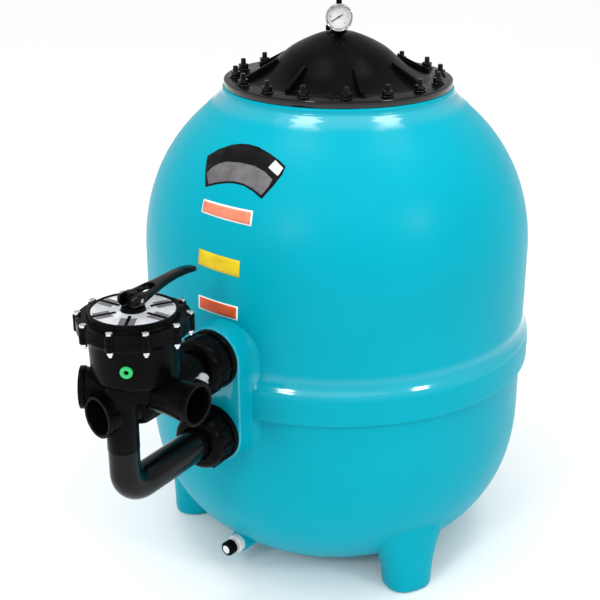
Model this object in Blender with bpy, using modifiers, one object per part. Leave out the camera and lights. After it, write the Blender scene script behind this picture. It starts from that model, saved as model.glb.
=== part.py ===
"""Pool sand filter: a moulded tank with a bolted lid, a side-mounted selector valve and its pipework.

Metres, +Z up. Everything is modelled around the tank's upright axis and stands on z = 0, with the valve
towards -Y. The whole filter then moves along Y, so that the origin is under the middle of its outline.
"""
import math

import bmesh
import bpy
from mathutils import Vector

# Tank
TANK_RADIUS = 0.325
TANK_WALL = 0.008
WALL_BOTTOM = 0.264
WALL_TOP = 0.536
SHOULDER_RISE = 0.3052
SHOULDER_POWER = 2.135
DOME_DROP = 0.2785
DOME_POWER = 2.366
CROWN_INSET = 0.105
CROWN_HEIGHT = 0.015
BAND_PROUD = 0.0105
BAND_LOW = 0.350
BAND_HIGH = 0.405
TANK_SEGMENTS = 36

# Neck and lid
NECK_RADIUS = 0.1895
NECK_BORE = 0.148
NECK_FOOT = 0.222
NECK_RING = 0.030
NECK_RISE = 0.0403
LID_RADIUS = 0.1870
LID_FLANGE = 0.0110
LID_WALL = 0.007
DOME_FOOT = 0.152
DOME_HEIGHT = 0.0734
LID_RIBS = 8
RIB_WIDTH = 0.006
RIB_START = 0.100
RIB_HEIGHT = 0.0345
BOLT_COUNT = 16
BOLT_CIRCLE = 0.1675
FIRST_BOLT = 12.7
BOLT_RADIUS = 0.0045
BOLT_HOLE = 0.0057
BOLT_DEPTH = 0.018
NUT_RADIUS = 0.0085
NUT_HEIGHT = 0.008
BOLT_TIP = 0.009
WASHER_RADIUS = 0.0105
WASHER_HEIGHT = 0.0018
GASKET_RADIUS = 0.1545
GASKET_WIDTH = 0.005
GASKET_HEIGHT = 0.004

# Feet
FOOT_INSET = 0.065
FOOT_WIDTH = 0.086
FOOT_DEPTH = 0.074
FOOT_COUNT = 3
FIRST_FOOT = -30.0

# Gauge
COLUMN_RADIUS = 0.0095
COLUMN_RISE = 0.012
STUB_RADIUS = 0.0046
STUB_RISE = 0.031
GAUGE_RISE = 0.026
GAUGE_RADIUS = 0.0205
GAUGE_BACK = 0.0145
GAUGE_DEPTH = 0.0165
GAUGE_WALL = 0.0016
GAUGE_FACING = -58.0
NEEDLE_REST = 32.0
BLEED_RISE = 0.0055

# Selector valve
VALVE_CLEARANCE = 0.208
BODY_RADIUS = 0.0625
BODY_RISE = 0.042
BODY_DEPTH = 0.0793
BODY_FLOOR = 0.009
MANIFOLD_RADIUS = 0.0480
MANIFOLD_DEPTH = 0.020
MANIFOLD_FOOT = 0.0380
MANIFOLD_TAPER = 0.012
CHAMBER_RADIUS = 0.0570
COVER_RADIUS = 0.0785
COVER_FLANGE = 0.0120
DRUM_RADIUS = 0.0630
DRUM_HEIGHT = 0.0090
SCREW_COUNT = 10
FIRST_SCREW = -74.3
SCREW_CIRCLE = 0.0765
SCREW_RADIUS = 0.0026
SCREW_HOLE = 0.0034
SCREW_HEAD = 0.0052
SCREW_HEAD_HEIGHT = 0.0045
LUG_RADIUS = 0.0066
LUG_DEPTH = 0.0105
SECTORS = 6
HUB_RADIUS = 0.0165
HUB_HEIGHT = 0.0128
STEM_RADIUS = 0.0085
STEM_TOP = 0.0105
ROTOR_RADIUS = 0.0555
ROTOR_HEIGHT = 0.013
SPIDER_HEIGHT = 0.003
SPRING_RADIUS = 0.0145
SPRING_WIRE = 0.0013
SPRING_TURNS = 4
PLATE_THICKNESS = 0.0015

# Ports
PORT_RISE = 0.0245
FRONT_PORT_RISE = 0.0005
PORT_NECK = 0.0255
PORT_MOUTH = 0.0305
PORT_SOCKET = 0.0252
PORT_SOCKET_DEPTH = 0.032
PORT_BORE = 0.0165
SIDE_PORT_REACH = 0.1066
FRONT_PORT_REACH = 0.070
REAR_PORT_REACH = 0.079
SIDE_PORT_ANGLE = 0.0
FRONT_PORT_ANGLE = -103.5
REAR_PORT_ANGLE = -146.0
TANK_PORT_RADIUS = 0.031
DOWN_PORT_OFFSET = 0.036
DOWN_PORT_RADIUS = 0.0228
DOWN_PORT_DROP = 0.056
DOWN_PORT_BORE = 0.0182

# Unions
UNION_HEIGHT = 0.452
UNION_PITCH = 0.125
TUBE_RADIUS = 0.0240
TUBE_BORE = 0.0200
PAD_RADIUS = 0.0490
PAD_PROUD = 0.0350
FLANGE_RADIUS = 0.0465
FLANGE_THICKNESS = 0.008
THREAD_RADIUS = 0.0330
THREAD_LENGTH = 0.018
COLLAR_LENGTH = 0.006
TAIL_RADIUS = 0.0255
UNION_RADIUS = 0.0475
UNION_LENGTH = 0.036
UNION_GRIPS = 12
LOCK_NUT_RADIUS = 0.036
LOCK_NUT_LENGTH = 0.012
TUBE_INSIDE = 0.028

# Pipes
PIPE_RADIUS_UP = 0.0222
PIPE_RADIUS_ALONG = 0.0250
PIPE_WALL = 0.0045
PIPE_BEND = 0.034
SPIGOT_LENGTH = 0.020
RISER_RADIUS = 0.0196
RISER_BEND = 0.060
RISER_TOP = 0.690
DIFFUSER_RADIUS = 0.045
DIFFUSER_HEIGHT = 0.070
HUB_TOP = 0.105
HUB_BOTTOM = 0.052
COLLECTOR_RADIUS = 0.044
LATERAL_COUNT = 8
LATERAL_RADIUS = 0.012
LATERAL_INSET = 0.130
LATERAL_HEIGHT = 0.070

# Drain
DRAIN_ANGLE = -97.0
DRAIN_INSET = 0.0805
DRAIN_PROUD = 0.0175
DRAIN_BOSS = 0.018
DRAIN_TUBE = 0.0085
DRAIN_NUT = 0.0155
DRAIN_CAP = 0.0125

GAP = 0.0003
RUNNING_GAP = 0.0006

TEAL = (0.0, 0.46, 0.62, 1.0)
BLACK = (0.010, 0.010, 0.011, 1.0)
DARK_STEEL = (0.05, 0.05, 0.055, 1.0)
BRIGHT_STEEL = (0.75, 0.75, 0.76, 1.0)
GREY = (0.35, 0.35, 0.36, 1.0)
WHITE = (0.85, 0.86, 0.88, 1.0)
RUBBER = (0.02, 0.02, 0.02, 1.0)
NATURAL = (0.78, 0.78, 0.74, 1.0)
CLEAR = (0.80, 0.88, 0.90, 1.0)


# Heights and distances that follow from the sizes above
CROWN_RADIUS = TANK_RADIUS - CROWN_INSET


def superellipse(part, power):
    """Return the share of the rise that is left at a share of the radius."""
    return max(0.0, 1.0 - part ** power) ** (1.0 / power)


def shoulder_height(radius):
    return WALL_TOP + SHOULDER_RISE * superellipse(radius / TANK_RADIUS, SHOULDER_POWER)


def dome_height(radius):
    """Return the height of the lower dome's skin, with its crown flattened towards the middle."""
    edge = WALL_BOTTOM - DOME_DROP * superellipse(CROWN_RADIUS / TANK_RADIUS, DOME_POWER)
    if radius >= CROWN_RADIUS:
        return WALL_BOTTOM - DOME_DROP * superellipse(radius / TANK_RADIUS, DOME_POWER)
    step = 0.001
    slope = (dome_height(CROWN_RADIUS + step) - edge) / step
    power = slope * CROWN_RADIUS / (edge - CROWN_HEIGHT)
    return CROWN_HEIGHT + (edge - CROWN_HEIGHT) * (radius / CROWN_RADIUS) ** power


NECK_TOP = shoulder_height(NECK_FOOT) + NECK_RISE
LID_BOTTOM = NECK_TOP + GAP
LID_TOP = LID_BOTTOM + LID_FLANGE
LID_CROWN = LID_TOP + DOME_HEIGHT
GAUGE_HEIGHT = LID_CROWN + GAUGE_RISE
COLUMN_TOP = GAUGE_HEIGHT + COLUMN_RISE
STUB_TOP = GAUGE_HEIGHT + STUB_RISE
BLEED_HEIGHT = LID_CROWN + BLEED_RISE
FOOT_CIRCLE = TANK_RADIUS - FOOT_INSET
LATERAL_REACH = TANK_RADIUS - LATERAL_INSET
DRAIN_REACH = TANK_RADIUS - DRAIN_INSET + DRAIN_PROUD
DRAIN_HEIGHT = dome_height(TANK_RADIUS - DRAIN_INSET)
VALVE_REACH = TANK_RADIUS + VALVE_CLEARANCE
PORT_HEIGHT = UNION_HEIGHT + PORT_RISE
FRONT_PORT_HEIGHT = UNION_HEIGHT + FRONT_PORT_RISE
BODY_BOTTOM = UNION_HEIGHT + BODY_RISE
CHAMBER_FLOOR = BODY_BOTTOM + BODY_FLOOR
JOINT_HEIGHT = BODY_BOTTOM + BODY_DEPTH
DOWN_PORT_END = UNION_HEIGHT - DOWN_PORT_DROP
COVER_BOTTOM = JOINT_HEIGHT + GAP
COVER_TOP = COVER_BOTTOM + COVER_FLANGE
DRUM_TOP = COVER_TOP + DRUM_HEIGHT
HUB_CROWN = COVER_TOP + HUB_HEIGHT
PIVOT_HEIGHT = HUB_CROWN + GAP + 0.0102
PAD_FACE = TANK_RADIUS + PAD_PROUD
FLANGE_FACE = PAD_FACE + GAP + FLANGE_THICKNESS
SEAT_FACE = FLANGE_FACE + THREAD_LENGTH
COLLAR_BACK = SEAT_FACE + GAP
COLLAR_FRONT = COLLAR_BACK + COLLAR_LENGTH
LOWER_UNION = UNION_HEIGHT - UNION_PITCH
DOWN_PORT_REACH = VALVE_REACH + DOWN_PORT_OFFSET

AXIS = Vector((0.0, 0.0, 0.0))
VALVE_AXIS = Vector((0.0, -VALVE_REACH, 0.0))
UP = Vector((0.0, 0.0, 1.0))
OUT = Vector((0.0, -1.0, 0.0))


def compass(degrees):
    """Return the level direction at this angle, from +X towards +Y."""
    angle = math.radians(degrees)
    return Vector((math.cos(angle), math.sin(angle), 0.0))


# Making and shaping objects
def clear_scene():
    for old in list(bpy.data.objects):
        bpy.data.objects.remove(old, do_unlink=True)


def make_collection(name):
    collection = bpy.data.collections.new(name)
    bpy.context.scene.collection.children.link(collection)
    return collection


clear_scene()
PARTS = make_collection("pool_sand_filter")
CUTTERS = make_collection("cutters")
MATERIALS = {}


def material(name, colour, roughness, metallic=0.0):
    if name not in MATERIALS:
        made = bpy.data.materials.new(name)
        made.use_nodes = True
        shader = made.node_tree.nodes["Principled BSDF"]
        shader.inputs["Base Color"].default_value = colour
        shader.inputs["Roughness"].default_value = roughness
        shader.inputs["Metallic"].default_value = metallic
        MATERIALS[name] = made
    return MATERIALS[name]


def link(mesh, name, origin=AXIS, direction=UP):
    """Put a mesh in the scene with its own +Z along a direction."""
    made = bpy.data.objects.new(name, mesh)
    PARTS.objects.link(made)
    made.location = origin
    made.rotation_mode = "QUATERNION"
    made.rotation_quaternion = UP.rotation_difference(direction)
    return made


def turned(name, profile, segments, origin=AXIS, direction=UP, loop=False):
    """Turn a profile of (radius, height) points, which runs down its outer side, about +Z."""
    mesh = bpy.data.meshes.new(name)
    points = [(radius, 0.0, height) for radius, height in profile]
    edges = [(i, i + 1) for i in range(len(points) - 1)]
    if loop:
        edges.append((len(points) - 1, 0))
    mesh.from_pydata(points, edges, [])
    made = link(mesh, name, origin, direction)
    screw = made.modifiers.new("turn", "SCREW")
    screw.axis = "Z"
    screw.steps = segments
    screw.render_steps = segments
    screw.use_merge_vertices = True
    screw.merge_threshold = 0.00001
    return made


def rod(name, radius, low, high, segments, origin=AXIS, direction=UP):
    """Make a plain cylinder from one height to another along a direction."""
    shape = bmesh.new()
    bmesh.ops.create_cone(shape, cap_ends=True, segments=segments, radius1=radius, radius2=radius,
                          depth=high - low)
    bmesh.ops.translate(shape, vec=(0.0, 0.0, (high + low) / 2.0), verts=shape.verts)
    mesh = bpy.data.meshes.new(name)
    shape.to_mesh(mesh)
    shape.free()
    return link(mesh, name, origin, direction)


def block(name, low, high, origin=AXIS, direction=UP):
    """Make a box from its lowest to its highest corner."""
    shape = bmesh.new()
    bmesh.ops.create_cube(shape, size=1.0)
    low, high = Vector(low), Vector(high)
    bmesh.ops.scale(shape, vec=high - low, verts=shape.verts)
    bmesh.ops.translate(shape, vec=(high + low) / 2.0, verts=shape.verts)
    mesh = bpy.data.meshes.new(name)
    shape.to_mesh(mesh)
    shape.free()
    return link(mesh, name, origin, direction)


def loft(name, rings, origin=AXIS):
    """Skin a row of rings with equal counts of points, and close both ends."""
    shape = bmesh.new()
    rows = [[shape.verts.new(point) for point in ring] for ring in rings]
    count = len(rows[0])
    for below, above in zip(rows, rows[1:]):
        for i in range(count):
            j = (i + 1) % count
            shape.faces.new((below[i], below[j], above[j], above[i]))
    shape.faces.new(list(reversed(rows[0])))
    shape.faces.new(rows[-1])
    bmesh.ops.recalc_face_normals(shape, faces=shape.faces)
    mesh = bpy.data.meshes.new(name)
    shape.to_mesh(mesh)
    shape.free()
    return link(mesh, name, origin)


def freeze(made):
    """Swap an object's modifiers for the mesh that they give."""
    graph = bpy.context.evaluated_depsgraph_get()
    mesh = bpy.data.meshes.new_from_object(made.evaluated_get(graph))
    old = made.data
    made.modifiers.clear()
    made.data = mesh
    mesh.name = made.name
    if old.users == 0:
        bpy.data.meshes.remove(old)
    return made


def swept(name, path, radii, sides=16):
    """Run a round tube along a path, with a radius for each point, and weld its caps."""
    curve = bpy.data.curves.new(name, "CURVE")
    curve.dimensions = "3D"
    curve.bevel_depth = 0.01
    curve.bevel_resolution = (sides - 4) // 2
    curve.use_fill_caps = True
    spline = curve.splines.new("POLY")
    spline.points.add(len(path) - 1)
    for point, place, radius in zip(spline.points, path, radii):
        point.co = (*place, 1.0)
        point.radius = radius / curve.bevel_depth
    guide = bpy.data.objects.new(name + "_path", curve)
    PARTS.objects.link(guide)
    graph = bpy.context.evaluated_depsgraph_get()
    mesh = bpy.data.meshes.new_from_object(guide.evaluated_get(graph))
    shape = bmesh.new()
    shape.from_mesh(mesh)
    bmesh.ops.remove_doubles(shape, verts=shape.verts, dist=0.00001)
    bmesh.ops.recalc_face_normals(shape, faces=shape.faces)
    shape.to_mesh(mesh)
    shape.free()
    made = link(mesh, name)
    made.matrix_world = guide.matrix_world
    bpy.data.objects.remove(guide, do_unlink=True)
    return made


def as_cutter(made):
    PARTS.objects.unlink(made)
    CUTTERS.objects.link(made)
    made.hide_render = True
    made.display_type = "WIRE"
    return made


def joined(made, others, operation="UNION"):
    """Add the other solids to an object, or take them away from it, one after the other."""
    for other in others:
        as_cutter(freeze(other) if other.modifiers else other)
        change = made.modifiers.new(other.name, "BOOLEAN")
        change.operation = operation
        change.solver = "EXACT"
        change.object = other
    return freeze(made)


def cut(made, others):
    return joined(made, others, "DIFFERENCE")


def finish(made, name, finish_material, sharp=35.0):
    """Give a finished piece its name, its material and smooth shading with sharp corners."""
    freeze(made)
    made.name = name
    made.data.name = name
    made.data.materials.clear()
    made.data.materials.append(finish_material)
    made.data.shade_smooth()
    made.data.set_sharp_from_angle(angle=math.radians(sharp))
    return made


def many_rods(name, radius, low, high, segments, centres, direction=UP):
    """Make one cutter of several equal cylinders that stand apart."""
    shape = bmesh.new()
    for centre in centres:
        made = bmesh.ops.create_cone(shape, cap_ends=True, segments=segments, radius1=radius,
                                     radius2=radius, depth=high - low)
        middle = Vector((centre.x, centre.y, (high + low) / 2.0))
        bmesh.ops.translate(shape, vec=middle, verts=made["verts"])
    mesh = bpy.data.meshes.new(name)
    shape.to_mesh(mesh)
    shape.free()
    return link(mesh, name, AXIS, direction)


def circle_of(radius, count, first, centre=AXIS):
    return [centre + compass(first + 360.0 * i / count) * radius for i in range(count)]


def arc_path(start, corner, end, bend, steps=7):
    """Return the points from start to end by a corner that is rounded to a bend radius."""
    start, corner, end = Vector(start), Vector(corner), Vector(end)
    before = (start - corner).normalized()
    after = (end - corner).normalized()
    centre = corner + (before + after) * bend
    points = [start]
    for i in range(steps + 1):
        angle = math.pi / 2.0 * i / steps
        points.append(centre - after * bend * math.cos(angle) - before * bend * math.sin(angle))
    points.append(end)
    return points


BOLT_PLACES = circle_of(BOLT_CIRCLE, BOLT_COUNT, FIRST_BOLT)
SCREW_PLACES = circle_of(SCREW_CIRCLE, SCREW_COUNT, FIRST_SCREW, VALVE_AXIS)


# Tank
def foot(angle):
    """Loft one moulded foot, which grows out of the lower dome."""
    rings = []
    out = compass(angle)
    along = compass(angle + 90.0)
    half_width, half_depth = FOOT_WIDTH / 2.0, FOOT_DEPTH / 2.0
    levels = [(0.000, -0.003, 0.94, 0.94), (0.004, 0.000, 1.0, 1.0), (0.038, -0.002, 1.05, 1.07),
              (0.075, -0.009, 1.26, 1.30), (0.110, -0.022, 1.66, 1.64), (0.150, -0.042, 2.20, 2.05)]
    for height, inset, wide, deep in levels:
        centre = out * (FOOT_CIRCLE + inset) + UP * height
        ring = []
        for i in range(12):
            turn = 2.0 * math.pi * i / 12
            across = math.copysign(abs(math.cos(turn)) ** 0.8, math.cos(turn)) * half_width * wide
            away = math.copysign(abs(math.sin(turn)) ** 0.8, math.sin(turn)) * half_depth * deep
            ring.append(centre + along * across + out * away)
        rings.append(ring)
    return loft("foot_form", rings)


def tank_profile():
    """Return the tank's wall from the middle of its floor, up inside, and down outside."""
    inside = []
    steps = 4
    for i in range(3):
        radius = CROWN_RADIUS * 0.92 * i / 2
        inside.append((radius, dome_height(radius) + TANK_WALL))
    for i in range(1, steps):
        turn = math.pi / 2.0 * (0.50 + 0.50 * i / steps)
        radius = TANK_RADIUS * math.sin(turn)
        inside.append((radius - TANK_WALL * math.sin(turn), dome_height(radius) + TANK_WALL * math.cos(turn)))
    inside.append((TANK_RADIUS - TANK_WALL, WALL_BOTTOM))
    inside.append((TANK_RADIUS - TANK_WALL, WALL_TOP))
    for i in range(1, 4):
        radius = TANK_RADIUS - (TANK_RADIUS - NECK_FOOT) * (i / 3) ** 2
        slant = TANK_WALL * (radius - NECK_FOOT) / (TANK_RADIUS - NECK_FOOT)
        inside.append((radius - slant, shoulder_height(radius) - TANK_WALL * 1.1))
    inside.append((NECK_BORE, NECK_TOP - NECK_RING))
    inside.append((NECK_BORE, NECK_TOP))
    groove_in = GASKET_RADIUS - GASKET_WIDTH / 2.0 - GAP
    groove_out = GASKET_RADIUS + GASKET_WIDTH / 2.0 + GAP
    groove_floor = NECK_TOP - GASKET_HEIGHT - GAP
    rim = [(groove_in, NECK_TOP), (groove_in, groove_floor), (groove_out, groove_floor),
           (groove_out, NECK_TOP), (NECK_RADIUS - 0.003, NECK_TOP), (NECK_RADIUS, NECK_TOP - 0.003),
           (NECK_RADIUS + 0.001, NECK_TOP - 0.010), (NECK_RADIUS + 0.008, NECK_TOP - 0.0165),
           (NECK_RADIUS + 0.018, NECK_TOP - 0.0265)]
    outside = []
    for i in range(8):
        radius = NECK_FOOT + (TANK_RADIUS - NECK_FOOT) * math.sin(math.pi / 2.0 * i / 8)
        outside.append((radius, shoulder_height(radius)))
    band = TANK_RADIUS + BAND_PROUD
    outside += [(TANK_RADIUS, WALL_TOP), (TANK_RADIUS, BAND_HIGH + 0.014), (TANK_RADIUS + 0.003, BAND_HIGH + 0.004),
                (band, BAND_HIGH - 0.011), (band, BAND_LOW + 0.003), (band - 0.003, BAND_LOW),
                (TANK_RADIUS, BAND_LOW), (TANK_RADIUS, WALL_BOTTOM)]
    for i in range(1, 8):
        turn = math.pi / 2.0 * (1.0 - 0.52 * i / 7)
        radius = TANK_RADIUS * math.sin(turn)
        outside.append((radius, dome_height(radius)))
    for part in (0.88, 0.70, 0.0):
        outside.append((CROWN_RADIUS * part, dome_height(CROWN_RADIUS * part)))
    return inside + rim + outside


def make_tank():
    tank = turned("tank_shell", tank_profile(), TANK_SEGMENTS)
    extras = [foot(FIRST_FOOT + 120.0 * i) for i in range(FOOT_COUNT)]
    seat_depth = TANK_RADIUS - 0.004
    for height in (UNION_HEIGHT, LOWER_UNION):
        extras.append(rod("pad", PAD_RADIUS, seat_depth - 0.006, PAD_FACE, 24, UP * height, OUT))
    extras.append(block("pad_middle", (-PAD_RADIUS, -PAD_FACE, LOWER_UNION),
                        (PAD_RADIUS, -seat_depth + 0.006, UNION_HEIGHT)))
    drain = compass(DRAIN_ANGLE)
    boss_start = DRAIN_REACH - 0.034
    extras.append(rod("boss", DRAIN_BOSS, boss_start, DRAIN_REACH, 12, UP * DRAIN_HEIGHT, drain))
    joined(tank, extras)
    holes = [rod("port_hole", TUBE_RADIUS + GAP, TANK_RADIUS - 0.05, PAD_FACE + 0.01, 20, UP * height, OUT)
             for height in (UNION_HEIGHT, LOWER_UNION)]
    holes.append(rod("drain_hole", DRAIN_TUBE + GAP, boss_start - 0.02, DRAIN_REACH + 0.01, 12,
                     UP * DRAIN_HEIGHT, drain))
    holes.append(many_rods("bolt_holes", BOLT_HOLE, NECK_TOP - BOLT_DEPTH - 0.002, NECK_TOP + 0.01, 6,
                           BOLT_PLACES))
    cut(tank, holes)
    return finish(tank, "tank_shell", material("teal_tank", TEAL, 0.35))


def make_lid():
    rise = [(0.0, 1.0), (0.19, 0.965), (0.35, 0.835), (0.51, 0.655), (0.63, 0.450), (0.75, 0.240),
            (0.87, 0.095), (1.0, 0.0)]
    outer = [(DOME_FOOT * part, LID_TOP + DOME_HEIGHT * share) for part, share in rise]
    outer[0] = (0.0, LID_TOP + DOME_HEIGHT)
    edge = [(LID_RADIUS - 0.002, LID_TOP), (LID_RADIUS, LID_TOP - 0.002), (LID_RADIUS, LID_BOTTOM + 0.001),
            (LID_RADIUS - 0.001, LID_BOTTOM), (NECK_BORE - 0.001, LID_BOTTOM),
            (NECK_BORE - 0.001, LID_BOTTOM - 0.006), (NECK_BORE - 0.010, LID_BOTTOM - 0.006)]
    inner = [(DOME_FOOT * part - 0.012 * part, LID_TOP + DOME_HEIGHT * share - LID_WALL)
             for part, share in reversed(rise[:-1:2])]
    inner[-1] = (0.0, LID_TOP + DOME_HEIGHT - LID_WALL)
    lid = turned("lid", outer + edge + inner, 30)
    extras = [rod("boss", COLUMN_RADIUS + 0.006, LID_TOP + DOME_HEIGHT - LID_WALL - 0.006,
                  LID_TOP + DOME_HEIGHT + 0.0005, 16)]
    for i in range(LID_RIBS):
        rib = block("rib", (RIB_START, -RIB_WIDTH / 2.0, LID_TOP - 0.004),
                    (DOME_FOOT + 0.002, RIB_WIDTH / 2.0, LID_TOP + RIB_HEIGHT))
        shape = bmesh.new()
        shape.from_mesh(rib.data)
        for vert in shape.verts:
            if vert.co.z > LID_TOP and vert.co.x > DOME_FOOT:
                vert.co.z = LID_TOP + 0.006
        shape.to_mesh(rib.data)
        shape.free()
        rib.rotation_mode = "XYZ"
        rib.rotation_euler = (0.0, 0.0, math.radians(360.0 * i / LID_RIBS))
        extras.append(rib)
    joined(lid, extras)
    holes = [many_rods("bolt_holes", BOLT_HOLE, LID_BOTTOM - 0.01, LID_TOP + 0.01, 6, BOLT_PLACES),
             rod("column_hole", COLUMN_RADIUS - 0.0025 + GAP, LID_TOP, LID_TOP + DOME_HEIGHT + 0.02, 16)]
    cut(lid, holes)
    return finish(lid, "lid", material("black_lid", BLACK, 0.30))


def make_gasket():
    low = NECK_TOP - GASKET_HEIGHT
    half = GASKET_WIDTH / 2.0
    profile = [(GASKET_RADIUS + half, NECK_TOP), (GASKET_RADIUS + half, low),
               (GASKET_RADIUS - half, low), (GASKET_RADIUS - half, NECK_TOP)]
    gasket = turned("lid_gasket", profile, TANK_SEGMENTS, loop=True)
    return finish(gasket, "lid_gasket", material("black_rubber", RUBBER, 0.7))


def make_lid_bolts():
    """Make a stud with its washer, nut and free tip, once for each hole."""
    base = LID_TOP + GAP
    nut_low = base + WASHER_HEIGHT
    nut_high = nut_low + NUT_HEIGHT
    tip = nut_high + BOLT_TIP
    profile = [(0.0, tip), (BOLT_RADIUS - 0.0012, tip), (BOLT_RADIUS, tip - 0.0012),
               (BOLT_RADIUS, NECK_TOP - BOLT_DEPTH), (0.0, NECK_TOP - BOLT_DEPTH)]
    stud = turned("stud", profile, 6)
    joined(stud, [rod("washer", WASHER_RADIUS, base, nut_low, 8),
                  rod("nut", NUT_RADIUS, nut_low - 0.0006, nut_high, 6)])
    steel = material("dark_steel", DARK_STEEL, 0.35, 0.8)
    for i, place in enumerate(BOLT_PLACES):
        name = "lid_bolt_{:02d}".format(i + 1)
        bolt = link(stud.data, name, place)
        finish(bolt, name, steel)
    bpy.data.objects.remove(stud, do_unlink=True)


# Gauge column and gauge
GAUGE_AXIS = compass(GAUGE_FACING)
GAUGE_CENTRE = UP * GAUGE_HEIGHT
BLEED_AXIS = compass(GAUGE_FACING - 90.0)


def make_column():
    foot_height = LID_TOP + DOME_HEIGHT + 0.0005 + GAP
    root = COLUMN_RADIUS - 0.0025
    profile = [(0.0, STUB_TOP), (STUB_RADIUS - 0.001, STUB_TOP), (STUB_RADIUS, STUB_TOP - 0.001),
               (STUB_RADIUS, COLUMN_TOP + 0.001), (COLUMN_RADIUS - 0.001, COLUMN_TOP),
               (COLUMN_RADIUS, COLUMN_TOP - 0.001), (COLUMN_RADIUS, foot_height + 0.004),
               (COLUMN_RADIUS + 0.003, foot_height + 0.0038), (COLUMN_RADIUS + 0.003, foot_height),
               (root, foot_height), (root, foot_height - 0.009), (0.0, foot_height - 0.009)]
    column = turned("gauge_column", profile, 14)
    cut(column, [rod("gauge_socket", 0.0046 + GAP, 0.002, 0.02, 12, GAUGE_CENTRE, GAUGE_AXIS),
                 rod("bleed_socket", 0.0022 + GAP, 0.003, 0.02, 10, UP * BLEED_HEIGHT, BLEED_AXIS)])
    return finish(column, "gauge_column", material("black_moulding", BLACK, 0.4))


def make_bleed_knob():
    """Make the small screw that lets air out of the lid, with its knob."""
    edge = COLUMN_RADIUS + 0.003
    profile = [(0.0, edge + 0.0085), (0.0036, edge + 0.0085), (0.0044, edge + 0.0075),
               (0.0044, edge + 0.0015), (0.0036, edge + 0.0008), (0.0022, edge + 0.0008),
               (0.0022, 0.0035), (0.0, 0.0035)]
    knob = turned("bleed_knob", profile, 12, UP * BLEED_HEIGHT, BLEED_AXIS)
    return finish(knob, "bleed_knob", material("black_moulding", BLACK, 0.4))


def make_gauge():
    back = GAUGE_BACK
    front = back + GAUGE_DEPTH
    floor = back + 0.0050
    bore = GAUGE_RADIUS - GAUGE_WALL
    stem = 0.0046
    case_profile = [(0.0012, floor), (bore, floor), (bore, front), (GAUGE_RADIUS, front),
                    (GAUGE_RADIUS, back + 0.002), (GAUGE_RADIUS - 0.002, back), (stem, back),
                    (stem, 0.0025), (0.0, 0.0025), (0.0, floor - 0.003), (0.0012, floor - 0.003)]
    case_profile = [(0.0, floor - 0.003), (0.0012, floor - 0.003)] + case_profile[:-2]
    case = turned("gauge_case", case_profile, 20, GAUGE_CENTRE, GAUGE_AXIS)
    finish(case, "gauge_case", material("gauge_grey", GREY, 0.3, 0.8))

    dial_back = floor + GAP
    dial_front = dial_back + 0.0010
    dial_profile = [(0.0014, dial_front), (bore - GAP, dial_front), (bore - GAP, dial_back),
                    (0.0014, dial_back)]
    dial = turned("gauge_dial", dial_profile, 24, GAUGE_CENTRE, GAUGE_AXIS, loop=True)
    finish(dial, "gauge_dial", material("white_dial", WHITE, 0.5))

    hand = dial_front + 0.0008
    arbor = turned("gauge_needle", [(0.0, hand + 0.0014), (0.0018, hand + 0.0014), (0.0018, hand),
                                    (0.0009, hand), (0.0009, floor - 0.0026), (0.0, floor - 0.0026)],
                   10, GAUGE_CENTRE, GAUGE_AXIS)
    blade = block("blade", (-0.0008, -0.0068, hand + 0.0003), (0.0008, 0.0138, hand + 0.0010))
    blade.matrix_world = arbor.matrix_world
    blade.location = GAUGE_CENTRE
    side = BLEED_AXIS * -1.0
    tilt = math.radians(NEEDLE_REST)
    pointing = side * -math.cos(tilt) - UP * math.sin(tilt)
    across = GAUGE_AXIS.cross(pointing) * -1.0
    turn = blade.matrix_world.to_3x3()
    turn.col[0] = across
    turn.col[1] = pointing
    turn.col[2] = GAUGE_AXIS
    blade.rotation_quaternion = turn.to_quaternion()
    joined(arbor, [blade])
    finish(arbor, "gauge_needle", material("needle_black", BLACK, 0.5))

    lens_back = front + GAP
    lens_front = lens_back + 0.0015
    lens = rod("gauge_lens", GAUGE_RADIUS - 0.0006, lens_back, lens_front, 24, GAUGE_CENTRE, GAUGE_AXIS)
    finish(lens, "gauge_lens", material("clear_lens", CLEAR, 0.05))

    lip = lens_front + GAP
    inner = GAUGE_RADIUS + GAP
    bezel_profile = [(GAUGE_RADIUS - 0.0030, lip), (GAUGE_RADIUS - 0.0030, lip + 0.0006),
                     (GAUGE_RADIUS - 0.0010, lip + 0.0014), (inner + 0.0010, lip + 0.0004),
                     (inner + 0.0013, lip - 0.001), (inner + 0.0013, front - 0.006),
                     (inner, front - 0.006), (inner, lip)]
    bezel = turned("gauge_bezel", bezel_profile, 24, GAUGE_CENTRE, GAUGE_AXIS, loop=True)
    finish(bezel, "gauge_bezel", material("gauge_chrome", BRIGHT_STEEL, 0.25, 1.0))


# Selector valve
def port_form(name, reach, angle, height):
    """Turn one flared port, which ends in a socket for a pipe."""
    profile = [(0.0, reach), (PORT_MOUTH - 0.001, reach), (PORT_MOUTH, reach - 0.001),
               (PORT_MOUTH, reach - 0.007), (PORT_MOUTH - 0.0020, reach - 0.010),
               (PORT_MOUTH - 0.0024, reach - 0.018), (PORT_NECK + 0.0015, reach - 0.034),
               (PORT_NECK, reach - 0.046), (PORT_NECK, 0.012), (0.0, 0.012)]
    return turned(name, profile, 18, VALVE_AXIS + UP * height, compass(angle))


def port_bore(name, reach, angle, height, inner_end=0.022):
    profile = [(0.0, reach + 0.01), (PORT_SOCKET, reach + 0.01), (PORT_SOCKET, reach - PORT_SOCKET_DEPTH),
               (PORT_BORE, reach - PORT_SOCKET_DEPTH - 0.002), (PORT_BORE, inner_end), (0.0, inner_end)]
    return turned(name, profile, 14, VALVE_AXIS + UP * height, compass(angle))


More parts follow.
